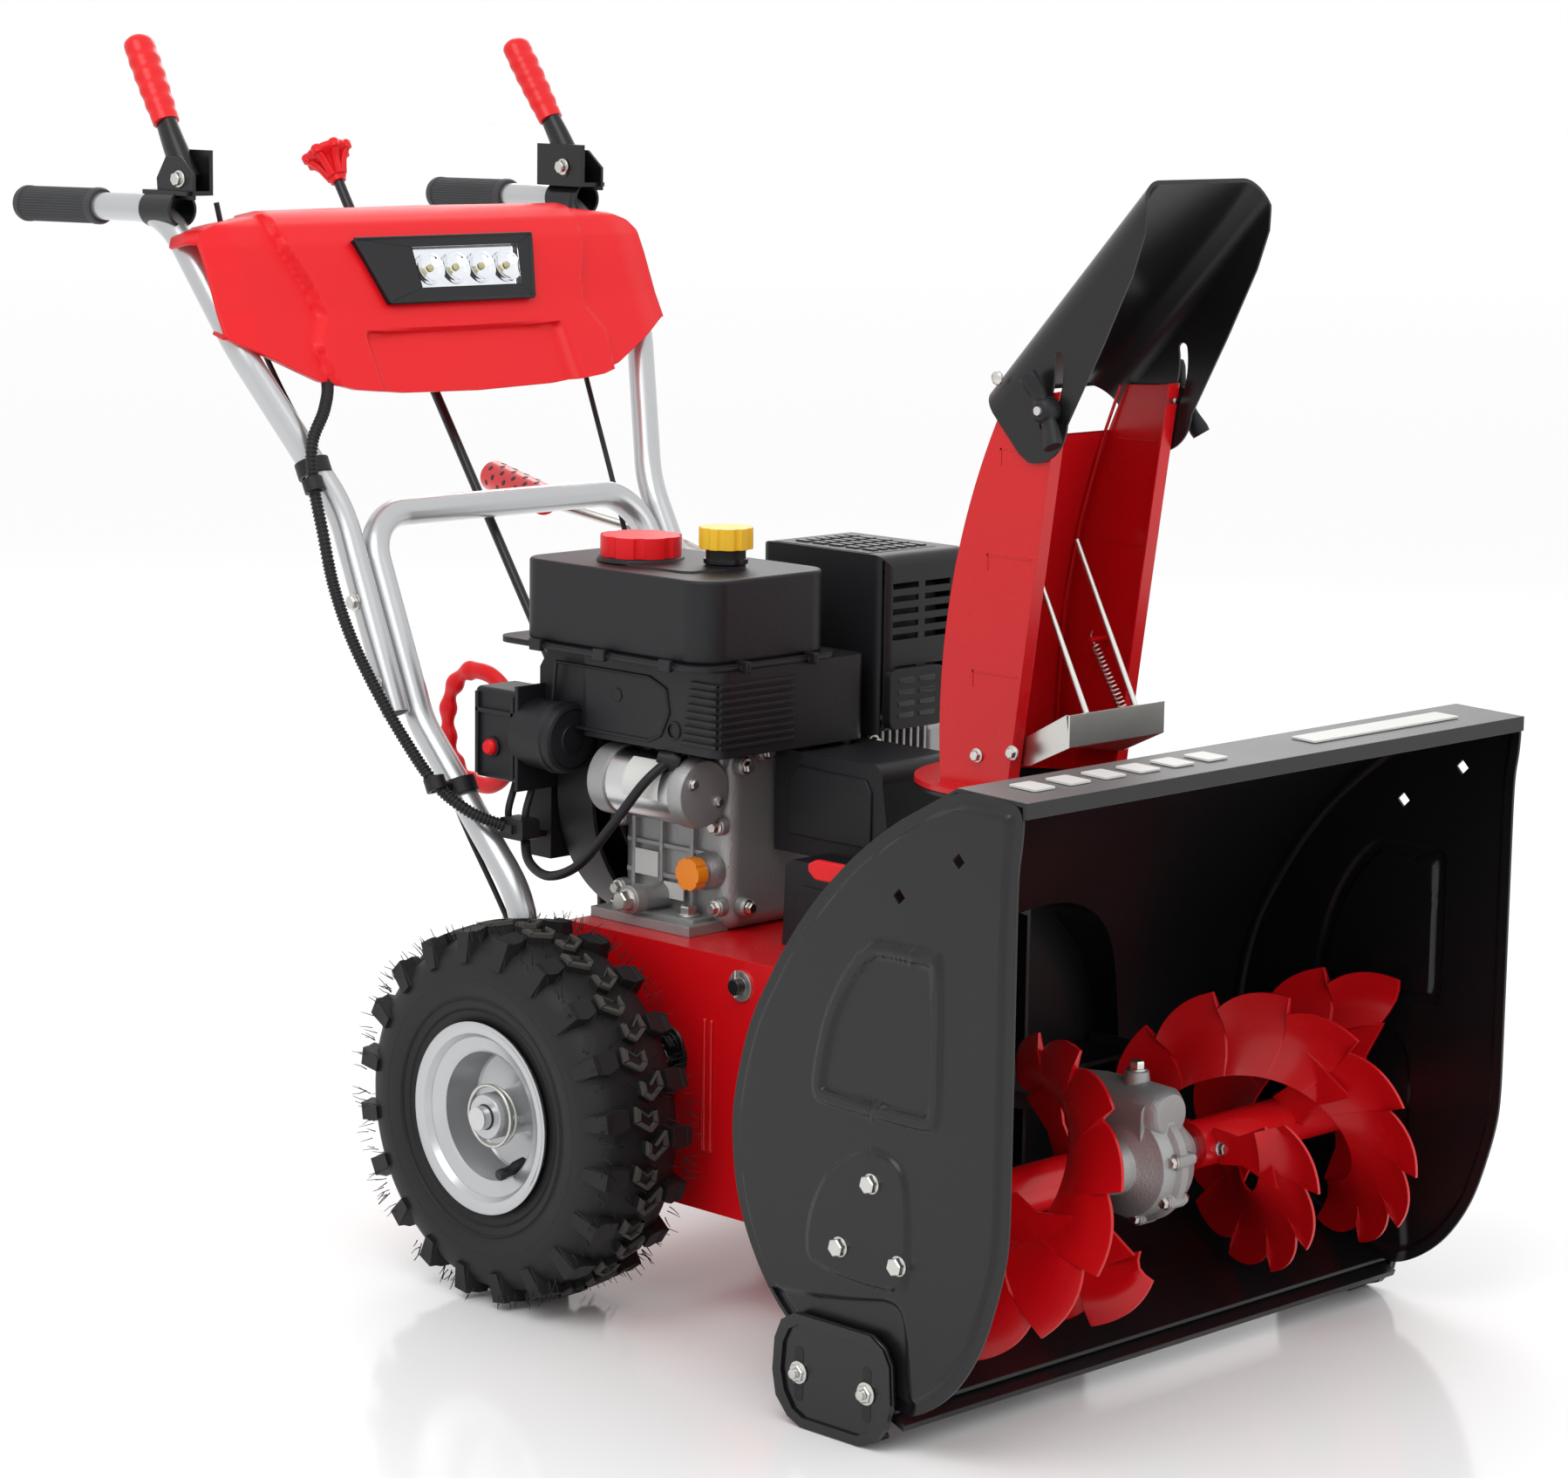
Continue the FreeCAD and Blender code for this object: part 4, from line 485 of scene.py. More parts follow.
def skid_shoe(side, node):
    """A wear shoe with a raised rim, two slots and a turned-in runner."""
    mesh = bmesh.new()
    outline = [(109, 70), (107, 40), (112, 20), (124, 6), (140, 0.3), (202, 0.3), (216, 6), (229, 20),
        (233, 40), (231, 66), (224, 82), (210, 90), (130, 90), (116, 82)]
    face = side * 310.6
    add_prism(mesh, outline, face, side * 315.8, "x")
    piece = bevelled(finish_mesh(node + "_plate", mesh, BLACK_GLOSS, body_of(node), (node,)), 1.6)
    mesh = bmesh.new()
    inner = [(118, 70), (116, 42), (120, 26), (130, 13), (142, 8), (200, 8), (211, 13), (220, 26), (224,
        42), (222, 64), (216, 76), (206, 82), (134, 82), (123, 78)]
    for first, last, near, far in zip(outline, outline[1:] + outline[:1], inner, inner[1:] + inner[:1]):
        add_prism(mesh, [first, last, far, near], side * 315.7, side * 318.4)
    finish_mesh(node + "_rim", mesh, BLACK_GLOSS, body_of(node))
    mesh = bmesh.new()
    for y in (134, 206):
        add_prism(mesh, rounded_outline(4.6, 22, 4.5, 6, (y, 42)), side * 315.0, side * 316.05)
    finish_mesh(node + "_slots", mesh, MOULD, body_of(node))
    mesh = bmesh.new()
    low, high = sorted((side * 287, side * 312))
    add_box(mesh, (low, 136, 0.3), (high, 206, 5))
    bevelled(finish_mesh(node + "_runner", mesh, BLACK_GLOSS, body_of(node)), 1.2)
    return piece


def body_of(node):
    """The body a node belongs to."""
    for name, body in frame["bodies"].items():
        if NODES[node].parent == body:
            return name
    raise KeyError(node)


# ------------------------------------------------------------------ auger, gearbox, impeller

AXIS_AUGER = (136.0, 169.0)


def flight(side, phase):
    """A wide dished ribbon with saw teeth, tied to its tube by three arms."""
    pitch, turns, start = 260.0, 0.86, 66.0
    outer, depth, gauge = 118.0, 15.0, 3.0
    teeth, steps = 10, 12
    shares = (0, 0.25, 0.5, 0.75, 1.0)
    wide = len(shares)

    def row(local, step):
        """Both skins of the ribbon across its width, at a step and a place within the tooth."""
        share = step / (teeth * steps)
        turn = phase + tau * turns * share
        inner = 46 + 30 * abs(2 * share - 1) ** 3
        rim = outer - depth * (1 - local) ** 2.6
        line = []
        for skin in (0, gauge):
            for part in shares:
                radius = inner + (rim - inner) * part
                dish = 9 * sin(part * pi) + 7 * part
                line.append(mesh.verts.new((side * (start + pitch * turns * share + dish + skin - 8),
                                            AXIS_AUGER[0] + radius * cos(turn),
                                            AXIS_AUGER[1] + radius * sin(turn))))
        return line
    mesh = bmesh.new()
    rows = []
    for tooth in range(teeth):
        for step in range(steps + 1):
            rows.append(row(step / steps, tooth * steps + min(step, steps - 0.15)))
    for first, last in zip(rows, rows[1:]):
        for near in range(wide - 1):
            mesh.faces.new((first[near], first[near + 1], last[near + 1], last[near]))
            mesh.faces.new((first[wide + near + 1], first[wide + near], last[wide + near],
                last[wide + near + 1]))
        mesh.faces.new((first[wide - 1], first[-1], last[-1], last[wide - 1]))
        mesh.faces.new((first[wide], first[0], last[0], last[wide]))
    for line in (rows[0], rows[-1]):
        for near in range(wide - 1):
            mesh.faces.new((line[near], line[near + 1], line[wide + near + 1], line[wide + near]))
    for share in (0.06, 0.5, 0.94):
        turn = phase + tau * turns * share
        hub = Vector((side * (start + pitch * turns * share), *AXIS_AUGER))
        out = Vector((0, cos(turn), sin(turn)))
        across = Vector((side * 5, -sin(turn) * 16, cos(turn) * 16))
        thick = Vector((1.5, 0, 0))
        rings = [[mesh.verts.new(hub + out * reach + across * grow * a + thick * b)
                  for a, b in ((-1, -1), (1, -1), (1, 1), (-1, 1))]
                 for reach, grow in ((17, 1.0), (42, 0.8), (74, 1.7))]
        for first, last in zip(rings, rings[1:]):
            for index in range(4):
                after = (index + 1) % 4
                mesh.faces.new((first[index], first[after], last[after], last[index]))
        mesh.faces.new(rings[0])
        mesh.faces.new(list(reversed(rings[-1])))
    return mesh


def augers():
    for side, label, phase in ((-1, "right", 44), (1, "left", 160)):
        for count in range(2):
            mesh = flight(side, radians(phase + 180 * count))
            finish_mesh(f"flight_{label}_{count}", mesh, RED, "auger", ("auger_flights",), 30)
        mesh = bmesh.new()
        add_lathe(mesh, [(0, 12.6), (0, 20), (230, 20), (230, 12.6)], (side * 63, *AXIS_AUGER), (side, 0,
            0), 32)
        finish_mesh(f"flight_tube_{label}", mesh, RED, "auger")
    mesh = bmesh.new()
    add_lathe(mesh, [(0, 0), (0, 12.5), (610, 12.5), (610, 0)], (-305, *AXIS_AUGER), (1, 0, 0), 32)
    for side in (-1, 1):
        for way in (-1, 1):
            add_bolt(mesh, (side * 80, AXIS_AUGER[0] + way * 20, AXIS_AUGER[1]), (0, way, 0), 11, 5, 7)
    finish_mesh("auger_rod", mesh, STEEL, "auger", ("auger_shaft",), 40)
    gearbox()


def gearbox():
    """The cast gearbox: a drum round the auger, a rear snout for the impeller shaft and a bolted joint."""
    mesh = bmesh.new()
    y, z = AXIS_AUGER
    add_lathe(mesh, [(-48, 13), (-48, 21), (-30, 23), (-22, 36), (-19, 43), (-7, 45), (-4, 50), (4, 50),
        (7, 45), (19, 43), (22, 36), (30, 23), (48, 21), (48, 13)], (0, y, z), (1, 0, 0), 56)
    add_lathe(mesh, [(-34, 0), (-34, 17), (-28, 22), (-4, 23), (40, 23), (60, 21), (66, 21), (66, 10.5)],
              (0, y, 212), (0, 1, 0), 40)
    add_prism(mesh, rounded_outline(24, 22, 8, 5, (0, 200)), y - 22, y + 24, "y")
    add_lathe(mesh, [(0, 12), (16, 10), (17, 8), (17, 0)], (0, y + 4, 226), (0, 0, 1), 28)
    for turn in (20, 75, 125, 170, 215, 260, 310):
        across, rise = 46 * cos(radians(turn)), 46 * sin(radians(turn))
        add_lathe(mesh, [(-9, 0), (-9, 6.4), (9, 6.4), (10, 5), (10, 0)], (0, y + across, z + rise), (1,
            0, 0), 20)
        add_bolt(mesh, (-9, y + across, z + rise), (-1, 0, 0), 8, 4, 5.6, 1)
        add_bolt(mesh, (10, y + across, z + rise), (1, 0, 0), 8, 4, 5.6, 1)
    add_bolt(mesh, (0, y + 4, 243), (0, 0, 1), 11, 6, 8, 1)
    finish_mesh("gearbox_casting", mesh, [CAST, ZINC], "chassis", ("gearbox_housing",), 40)


# ------------------------------------------------------------------ chute and hood


def chute_parts():
    mesh = bmesh.new()
    for side in (-1, 1):
        for y, z in ((216, 500), (254, 493), (240, 560), (186, 777)):
            if side < 0 and z == 560:
                continue
            add_bolt(mesh, (side * 73.2, y, z), (side, 0, 0), 8, 3.5, 6, 0)
        add_lathe(mesh, [(0, 6), (1.5, 5.4), (3, 3), (3.4, 0)], (side * 76.6, 238, 797), (side, 0, 0), 24)
    for angle in (200, 250, 290, 340):
        turn = radians(angle)
        add_bolt(mesh, (86 * cos(turn), 260 + 86 * sin(turn), 467), (0, 0, 1), 9, 4, 7)
    finish_mesh("chute_bolts", mesh, ZINC, "chute")
    mesh = bmesh.new()
    low, high = Vector((50, 201, 514)), Vector((50, 239, 573))
    axis = (high - low).normalized()
    side_way = axis.orthogonal().normalized()
    other = axis.cross(side_way)
    turns, steps = 19, 19 * 14
    path = [low + (high - low) * (step / steps)
            + (side_way * cos(tau * turns * step / steps)
               + other * sin(tau * turns * step / steps)) * 3.4 for step in range(steps + 1)]
    add_tube(mesh, path, 0.8, 6)
    add_tube(mesh, smooth_path([high, high + axis * 8, high + axis * 12 + Vector((4, 0, 0))]), 0.9, 6)
    finish_mesh("spring_coil", mesh, ZINC, "chute", ("guard_spring",), 60)
    mesh = bmesh.new()
    for side in (-1, 1):
        add_tube(mesh, [(side * 66, 292, 500), (side * 66, 287, 600), (side * 66, 272, 670), (side * 66,
            250, 740), (side * 66, 232, 785)], 1.5, 6)
        for z in (560, 655, 740):
            y = 225 - (z - 480) * 0.14
            add_box(mesh, (side * 73.0 - 0.4, y, z), (side * 73.0 + 0.4, y + 48, z + 1.6))
            add_box(mesh, (side * 73.0 - 0.4, y + 46.5, z - 12), (side * 73.0 + 0.4, y + 48, z + 1.6))
            add_box(mesh, (side * 70.8 - 0.4, y + 8, z), (side * 70.8 + 0.4, y + 48, z + 1.6))
    finish_mesh("chute_creases", mesh, RED, "chute")


def wing_knobs():
    for side, node in ((-1, "wing_knob_right"), (1, "wing_knob_left")):
        mesh = bmesh.new()
        face = side * 77.4
        centre = (face, 181, 776)
        add_lathe(mesh, [(0, 0), (0, 11), (8, 11), (13, 9), (15, 6), (15, 0)], centre, (side, 0, 0), 32)
        for way in (-1, 1):
            lean = radians(62)
            run = Vector((0, cos(lean) * way, sin(lean) * way))
            start = Vector(centre) + Vector((side * 8, 0, 0))
            path = [start + run * 4, start + run * 14, start + run * 24 + Vector((side * 3, 0, 0)),
                    start + run * 31 + Vector((side * 5, 0, 0))]
            add_tube(mesh, smooth_path(path, 5), lambda share: 6.5 + 3.0 * share - 7 * max(0,
                share - 0.85), 14, 0, (0.62, 1.0), Vector((1, 0, 0)))
        add_lathe(mesh, [(0, 3.6), (2, 3.6), (2, 0)], (face + side * 14.6, 181, 776), (side, 0, 0), 16, 1)
        finish_mesh(node + "_body", mesh, [MOULD, ZINC], body_of(node), (node,), 50)


def crank():
    low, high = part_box("crank_handle")
    middle = (low + high) / 2
    foot, head = Vector((118, 288, 484)), Vector((290, 971, 569))
    axis = (head - foot).normalized()
    mesh = bmesh.new()
    centre = Vector((middle.x / MM, middle.y / MM + MID, middle.z / MM))
    side_way = axis.orthogonal().normalized()
    other = axis.cross(side_way)
    for row in range(8):
        for turn in range(6):
            angle = tau * (turn + 0.5 * (row % 2)) / 6
            out = side_way * cos(angle) + other * sin(angle)
            spot = centre + axis * (row * 12 - 42) + out * 14.4
            add_lathe(mesh, [(0, 3), (0.9, 2.7), (0.9, 0)], spot, out, 10)
    finish_mesh("crank_handle_holes", mesh, MOULD, "crank")


# ------------------------------------------------------------------ wheels

TYRE_INNER = 186.0
WHEEL = (612.0, 162.0)


def on_wheel(side, across, radius, degrees):
    turn = radians(degrees)
    return (side * (TYRE_INNER + across), WHEEL[0] + radius * cos(turn), WHEEL[1] + radius * sin(turn))


def add_lug(mesh, side, outline, low, high, look=0):
    """A tread block: its outline is (across, degrees), its height follows the tyre's crown."""
    def crown(across):
        return -0.0022 * (across - 54) ** 2
    first = [mesh.verts.new(on_wheel(side, a, low + crown(a), d)) for a, d in outline]
    middle = (sum(a for a, d in outline) / len(outline), sum(d for a, d in outline) / len(outline))
    last = [mesh.verts.new(on_wheel(side, middle[0] + (a - middle[0]) * 0.93, high + crown(a),
                                    middle[1] + (d - middle[1]) * 0.9)) for a, d in outline]
    faces = [mesh.faces.new(first), mesh.faces.new(list(reversed(last)))]
    for index in range(len(outline)):
        after = (index + 1) % len(outline)
        faces.append(mesh.faces.new((first[index], first[after], last[after], last[index])))
    for face in faces:
        face.material_index = look


def tyre(side, label):
    """A snow tyre: casing, shoulder blocks, zigzag centre lugs with worn ridges, and moulding hairs."""
    mesh = bmesh.new()
    profile = [(20, 72), (13, 76), (10, 84), (7, 96), (4, 110), (4, 124), (7, 136), (14, 146), (26,
        150.5), (40, 152), (54, 152.5), (68, 152), (82, 150.5), (94, 146), (101, 136), (104, 124), (104,
        110), (101, 96), (98, 84), (95, 76), (88, 72)]
    add_lathe(mesh, profile, (side * TYRE_INNER, *WHEEL), (side, 0, 0), 120)
    for radius in (92, 101, 117):
        for across in (7.4 if radius < 95 else 5.0, 100.6 if radius < 95 else 103.2):
            add_lathe(mesh, [(-1, radius - 1.4), (1.0 if across > 54 else -1.0, radius), (-1,
                radius + 1.4)], (side * (TYRE_INNER + across), *WHEEL), (side, 0, 0), 90)
    finish_mesh(f"tyre_casing_{label}", mesh, TYRE, "wheels", ("wheel_tyres",), 50)
    mesh = bmesh.new()
    count = 20
    step = 360 / count
    for index in range(count):
        base = index * step
        for way, offset in ((0, 0.0), (1, step / 2)):
            d = base + offset

            def flip(a):
                return a if way == 0 else 108 - a
            block = [(flip(6), d - 2.5), (flip(6), d + 3.4), (flip(20), d + 4.4), (flip(31), d + 2.6),
                     (flip(31), d - 3.2), (flip(18), d - 3.8)]
            add_lug(mesh, side, block, 136, 160.8)
            wall = [on_wheel(side, flip(2.6), 132, d - 1.8), on_wheel(side, flip(2.6), 132, d + 2.8),
                    on_wheel(side, flip(7), 157.5, d + 3.2), on_wheel(side, flip(7), 157.5, d - 2.4)]
            back = [on_wheel(side, flip(12), 134, d - 2.2), on_wheel(side, flip(12), 134, d + 3.2),
                    on_wheel(side, flip(12), 157.5, d + 3.4), on_wheel(side, flip(12), 157.5, d - 2.6)]
            corners = [mesh.verts.new(point) for point in wall + back]
            for face in ((0, 1, 2, 3), (7, 6, 5, 4), (0, 4, 5, 1), (1, 5, 6, 2), (2, 6, 7, 3), (3, 7, 4,
                    0)):
                mesh.faces.new([corners[corner] for corner in face])
            arrow = [(flip(36), d + 1.5), (flip(52), d + 5.2), (flip(60), d + 3.0), (flip(60), d - 1.4),
                     (flip(51), d + 0.6), (flip(38), d - 3.4)]
            add_lug(mesh, side, arrow, 150, 159.2)
            middle = (sum(a for a, e in arrow) / 6, sum(e for a, e in arrow) / 6)
            inset = [(middle[0] + (a - middle[0]) * 0.62, middle[1] + (e - middle[1]) * 0.62) for a,
                e in arrow]
            for first, last, near, far in zip(arrow, arrow[1:] + arrow[:1], inset, inset[1:] + inset[:1]):
                add_lug(mesh, side, [first, last, far, near], 158, 161.7, 1)
    finish_mesh(f"tyre_lugs_{label}", mesh, [TYRE, TYRE_WORN], "wheels", smooth=25)
    mesh = bmesh.new()
    for _ in range(520):
        degrees = random.uniform(0, 360)
        across = random.choice((random.uniform(3, 14), random.uniform(94, 105), random.uniform(20, 88)))
        start = Vector(on_wheel(side, across, 150, degrees))
        out = Vector((side * (across - 54) / 54 * random.uniform(0.2, 0.9), cos(radians(degrees)),
                      sin(radians(degrees)))) + Vector((random.uniform(-0.4, 0.4) for _ in range(3)))
        end = start + out.normalized() * random.uniform(9, 16)
        if end.z < 1.5 or abs(end.x) > 299:
            continue
        add_tube(mesh, [start, (start + end) / 2 + Vector((random.uniform(-1, 1) for _ in range(3))),
            end], lambda share: 0.55 - 0.3 * share, 4)
    finish_mesh(f"tyre_hairs_{label}", mesh, TYRE, "wheels", smooth=0)


def wheels():
    for side, label in ((-1, "right"), (1, "left")):
        tyre(side, label)
        mesh = bmesh.new()
        add_lathe(mesh, [(46, 24), (50, 30), (52, 42), (58, 52), (70, 55.5), (90, 57), (93, 60), (93.6,
            70), (95, 74), (100, 81), (103.2, 82), (103.8, 80), (101, 74), (97, 70), (95, 59), (92, 55)],
            (side * TYRE_INNER, *WHEEL), (side, 0, 0), 96)
        add_lathe(mesh, [(44, 19.5), (95, 19.5), (96.5, 18.5), (96.5, 11), (90, 11)],
                  (side * TYRE_INNER, *WHEEL), (side, 0, 0), 48)
        finish_mesh(f"rim_dish_{label}", mesh, SILVER, "wheels", smooth=40)
        mesh = bmesh.new()
        add_lathe(mesh, [(88, 10.9), (97, 10.9), (98, 10), (98, 6.5), (95, 6), (95, 0)],
                  (side * TYRE_INNER, *WHEEL), (side, 0, 0), 32)
        spot = on_wheel(side, 92, 50, 235)
        add_lathe(mesh, [(-14, 6.5), (-4, 6.0), (0, 4.6), (7, 4.4), (8, 5.0), (13, 5.0), (14, 4.2), (14,
            0)], spot, (side * 0.95, 0.1, -0.2), 20)
        finish_mesh(f"hub_cap_and_valve_{label}", mesh, MOULD, "wheels", smooth=40)
        mesh = bmesh.new()
        ring = []
        for turn in range(49):
            angle = tau * turn / 48
            ring.append((side * (TYRE_INNER + 88 + 4 * cos(angle)), WHEEL[0] + 25.5 * cos(angle),
                         WHEEL[1] + 25.5 * sin(angle)))
        add_tube(mesh, ring, 1.3, 8)
        finish_mesh(f"click_ring_{label}", mesh, ZINC, "wheels", smooth=60)


# ------------------------------------------------------------------ frame and engine

def tractor():
    mesh = bmesh.new()
    for side in (-1, 1):
        for y in (468, 476):
            add_tube(mesh, smooth_path([(side * 157.8, y, 138), (side * 158.8, y, 150), (side * 158.8, y,
                240), (side * 157.8, y, 251)], 4), 2.0, 8)
    finish_mesh("frame_ribs", mesh, RED, "chassis", smooth=60)
    mesh = bmesh.new()
    for side in (-1, 1):
        add_lathe(mesh, [(0, 0), (0, 17), (1.5, 18), (3, 17), (3, 0)], (side * 158, 518, 220), (side, 0,
            0), 32, 0)
        add_bolt(mesh, (side * 161, 518, 220), (side, 0, 0), 18, 6, 13, 0, 5)
        add_lathe(mesh, [(0, 13), (2, 13), (2, 0)], (side * 158, 434, 286), (side, 0, 0), 32, 1)
        add_lathe(mesh, [(0, 7), (9, 7), (10, 6), (10, 0)], (side * 158, 434, 286), (side, 0, 0), 24, 0)
        add_tube(mesh, [(side * 165, 434, 277), (side * 165, 434, 300)], 1.3, 8, 1)
        for y in (350, 392):
            add_bolt(mesh, (side * 158, y, 268), (side, 0, 0), 10, 4, 8, 1)
    for x in (-110, -60, -10):
        add_lathe(mesh, [(0, 13), (1.2, 12), (1.2, 0)], (x, 600, 308), (0, 0, 1), 24, 2)
    finish_mesh("frame_hardware", mesh, [BLACK, ZINC, RED], "chassis", smooth=40)
    mesh = bmesh.new()
    add_prism(mesh, rounded_outline(10, 22, 4, 4, (212, 404)) , -190, -181)
    add_prism(mesh, [(205, 396), (322, 396), (330, 402), (330, 408), (322, 412), (205, 412)], -188, -182)
    bevelled(finish_mesh("clearing_tool_bar", mesh, RED_MOULD, "chassis", ("clearing_tool",), 35), 1)
    mesh = bmesh.new()
    panel = [(350, 312), (440, 312), (440, 350), (430, 362), (360, 360), (352, 350)]
    add_prism(mesh, panel, -92, -89.5)
    add_prism(mesh, [(395, 392), (492, 392), (492, 440), (480, 452), (402, 450), (395, 440)], -48, -45)
    bevelled(finish_mesh("cover_panels", mesh, MOULD, "chassis"), 1.0)


def engine():
    crankcase_details()
    starter_details()
    tank_details()
    muffler_details()
    pull_handle()


def crankcase_details():
    mesh = bmesh.new()
    for y, z in ((522, 330), (522, 400), (524, 456), (560, 462), (600, 462), (640, 456), (642, 392), (642,
            330)):
        add_lathe(mesh, [(0, 8), (7, 8), (8, 7), (8, 0)], (-95, y, z), (-1, 0, 0), 20)
        add_bolt(mesh, (-103, y, z), (-1, 0, 0), 9, 5, 7, 1)
    for x, z in ((-80, 330), (-84, 452), (-60, 462), (-20, 464), (30, 464), (70, 456), (80, 330)):
        add_lathe(mesh, [(0, 8), (8, 8), (9, 7), (9, 0)], (x, 515, z), (0, -1, 0), 20)
        add_bolt(mesh, (x, 506, z), (0, -1, 0), 9, 5, 7, 1)
    for z in (346, 372, 398, 424):
        add_box(mesh, (-99, 530, z), (-94, 636, z + 4))
    for y in (552, 590, 624):
        add_box(mesh, (-101, y, 318), (-94, y + 4, 452))
    add_box(mesh, (-132, 524, 308.2), (-86, 646, 317))
    add_lathe(mesh, [(0, 10), (34, 10), (34, 12.5), (46, 12.5), (47, 11), (47, 0)], (-94, 590, 332), (-1,
        0, 0), 32)
    add_bolt(mesh, (-141, 590, 332), (-1, 0, 0), 15, 9, 10, 1)
    add_lathe(mesh, [(0, 16), (10, 16), (14, 13), (18, 13), (18, 0)], (-95, 535, 360), (-1, 0, 0), 32)
    for y in (550, 632):
        add_bolt(mesh, (-108, y, 320.3), (0, 0, 1), 13, 7, 10, 1)
    finish_mesh("crankcase_details", mesh, [CAST, ZINC], "chassis", ("hex_bolts",), 40)
    mesh = bmesh.new()
    add_box(mesh, (-102.6, 562, 330), (-101.2, 586, 344))
    add_box(mesh, (-102.6, 594, 346), (-101.2, 622, 368))
    finish_mesh("crankcase_label_blanks", mesh, LABEL, "chassis")
    mesh = bmesh.new()
    for y, z in ((877, 563), (842.8, 494)):
        reach = 203.4 if z == 563 else 206.6
        for side in (-1, 1):
            add_bolt(mesh, (side * reach, y, z), (side, 0, 0), 11, 4.5, 8)
    finish_mesh("handle_bolts", mesh, ZINC, "chassis")


def starter_details():
    mesh = bmesh.new()
    add_lathe(mesh, [(-1, 0), (-1, 20), (0, 28), (6, 30.5), (14, 30.5), (15, 29.4)], (-125, 514, 432), (0,
        1, 0), 48, 1)
    add_lathe(mesh, [(0, 29.3), (77, 29.3)], (-125, 529, 432), (0, 1, 0), 48, 0)
    add_lathe(mesh, [(92, 29.5), (93, 31), (112, 31), (114, 26), (114, 0)], (-125, 514, 432), (0, 1, 0),
        48, 1)
    for x, z in ((-140, 442), (-110, 424)):
        add_bolt(mesh, (x, 513, z), (0, -1, 0), 7, 2.5, 5, 2)
    finish_mesh("starter_body", mesh, [STEEL, CAST, ZINC], "chassis", ("starter_motor",), 35)
    mesh = bmesh.new()
    steps = 14
    lower = [mesh.verts.new((-125 - 29.8 * cos(a), 540, 432 + 29.8 * sin(a)))
             for a in (radians(-12 + 70 * step / steps) for step in range(steps + 1))]
    upper = [mesh.verts.new((vertex.co.x, 584, vertex.co.z)) for vertex in lower]
    for index in range(steps):
        mesh.faces.new((lower[index], lower[index + 1], upper[index + 1], upper[index]))
    finish_mesh("starter_label_blank", mesh, LABEL, "chassis")
    mesh = bmesh.new()
    path = smooth_path([(-138, 534, 462), (-146, 538, 458), (-164, 548, 440), (-176, 572, 404), (-182,
        606, 366), (-182, 644, 350), (-176, 676, 356), (-160, 700, 372), (-146, 712, 384)], 8)
    add_tube(mesh, path, 4.2, 14)
    add_lathe(mesh, [(0, 0), (0, 8), (7, 9), (14, 6), (20, 5), (20, 0)], (-138, 530, 458), (-0.5, 0.6,
        0.2), 24)
    for y in (706, 728):
        add_tube(mesh, smooth_path([(-132, y, 372), (-150, y - 2, 376), (-160, y - 6, 392), (-150, y - 4,
            416)]), 3.2)
    finish_mesh("starter_lead_and_boot", mesh, MOULD, "chassis", smooth=60)
    mesh = bmesh.new()
    add_lathe(mesh, [(0, 26), (1.5, 29), (4, 30), (9, 30), (10, 31.5), (16, 31.5), (17, 30), (46, 30)],
              (-150, 650, 464), (0, 1, 0), 56)
    add_lathe(mesh, [(-0.5, 12), (0.5, 12.5), (1, 25)], (-150, 650, 464), (0, 1, 0), 56)
    for angle in (30, 120, 210, 300):
        turn = radians(angle)
        add_bolt(mesh, (-150 + 24 * cos(turn), 698, 464 + 24 * sin(turn)), (0, -1, 0), 6, 3, 5)
    add_box(mesh, (-172, 697, 414), (-118, 701, 506))
    add_box(mesh, (-171, 704, 424), (-167, 708, 496))
    add_box(mesh, (-171, 750, 424), (-167, 754, 496))
    add_box(mesh, (-171, 704, 478), (-167, 754, 482))
    add_lathe(mesh, [(0, 9), (2.4, 9), (2.4, 7.4)], (-168, 733, 449), (-1, 0, 0), 32)
    for z in (430, 456, 490):
        add_box(mesh, (-160, 757, z), (-128, 759.5, z + 3))
    bevelled(finish_mesh("switch_box_details", mesh, MOULD, "chassis", smooth=35), 0.7)


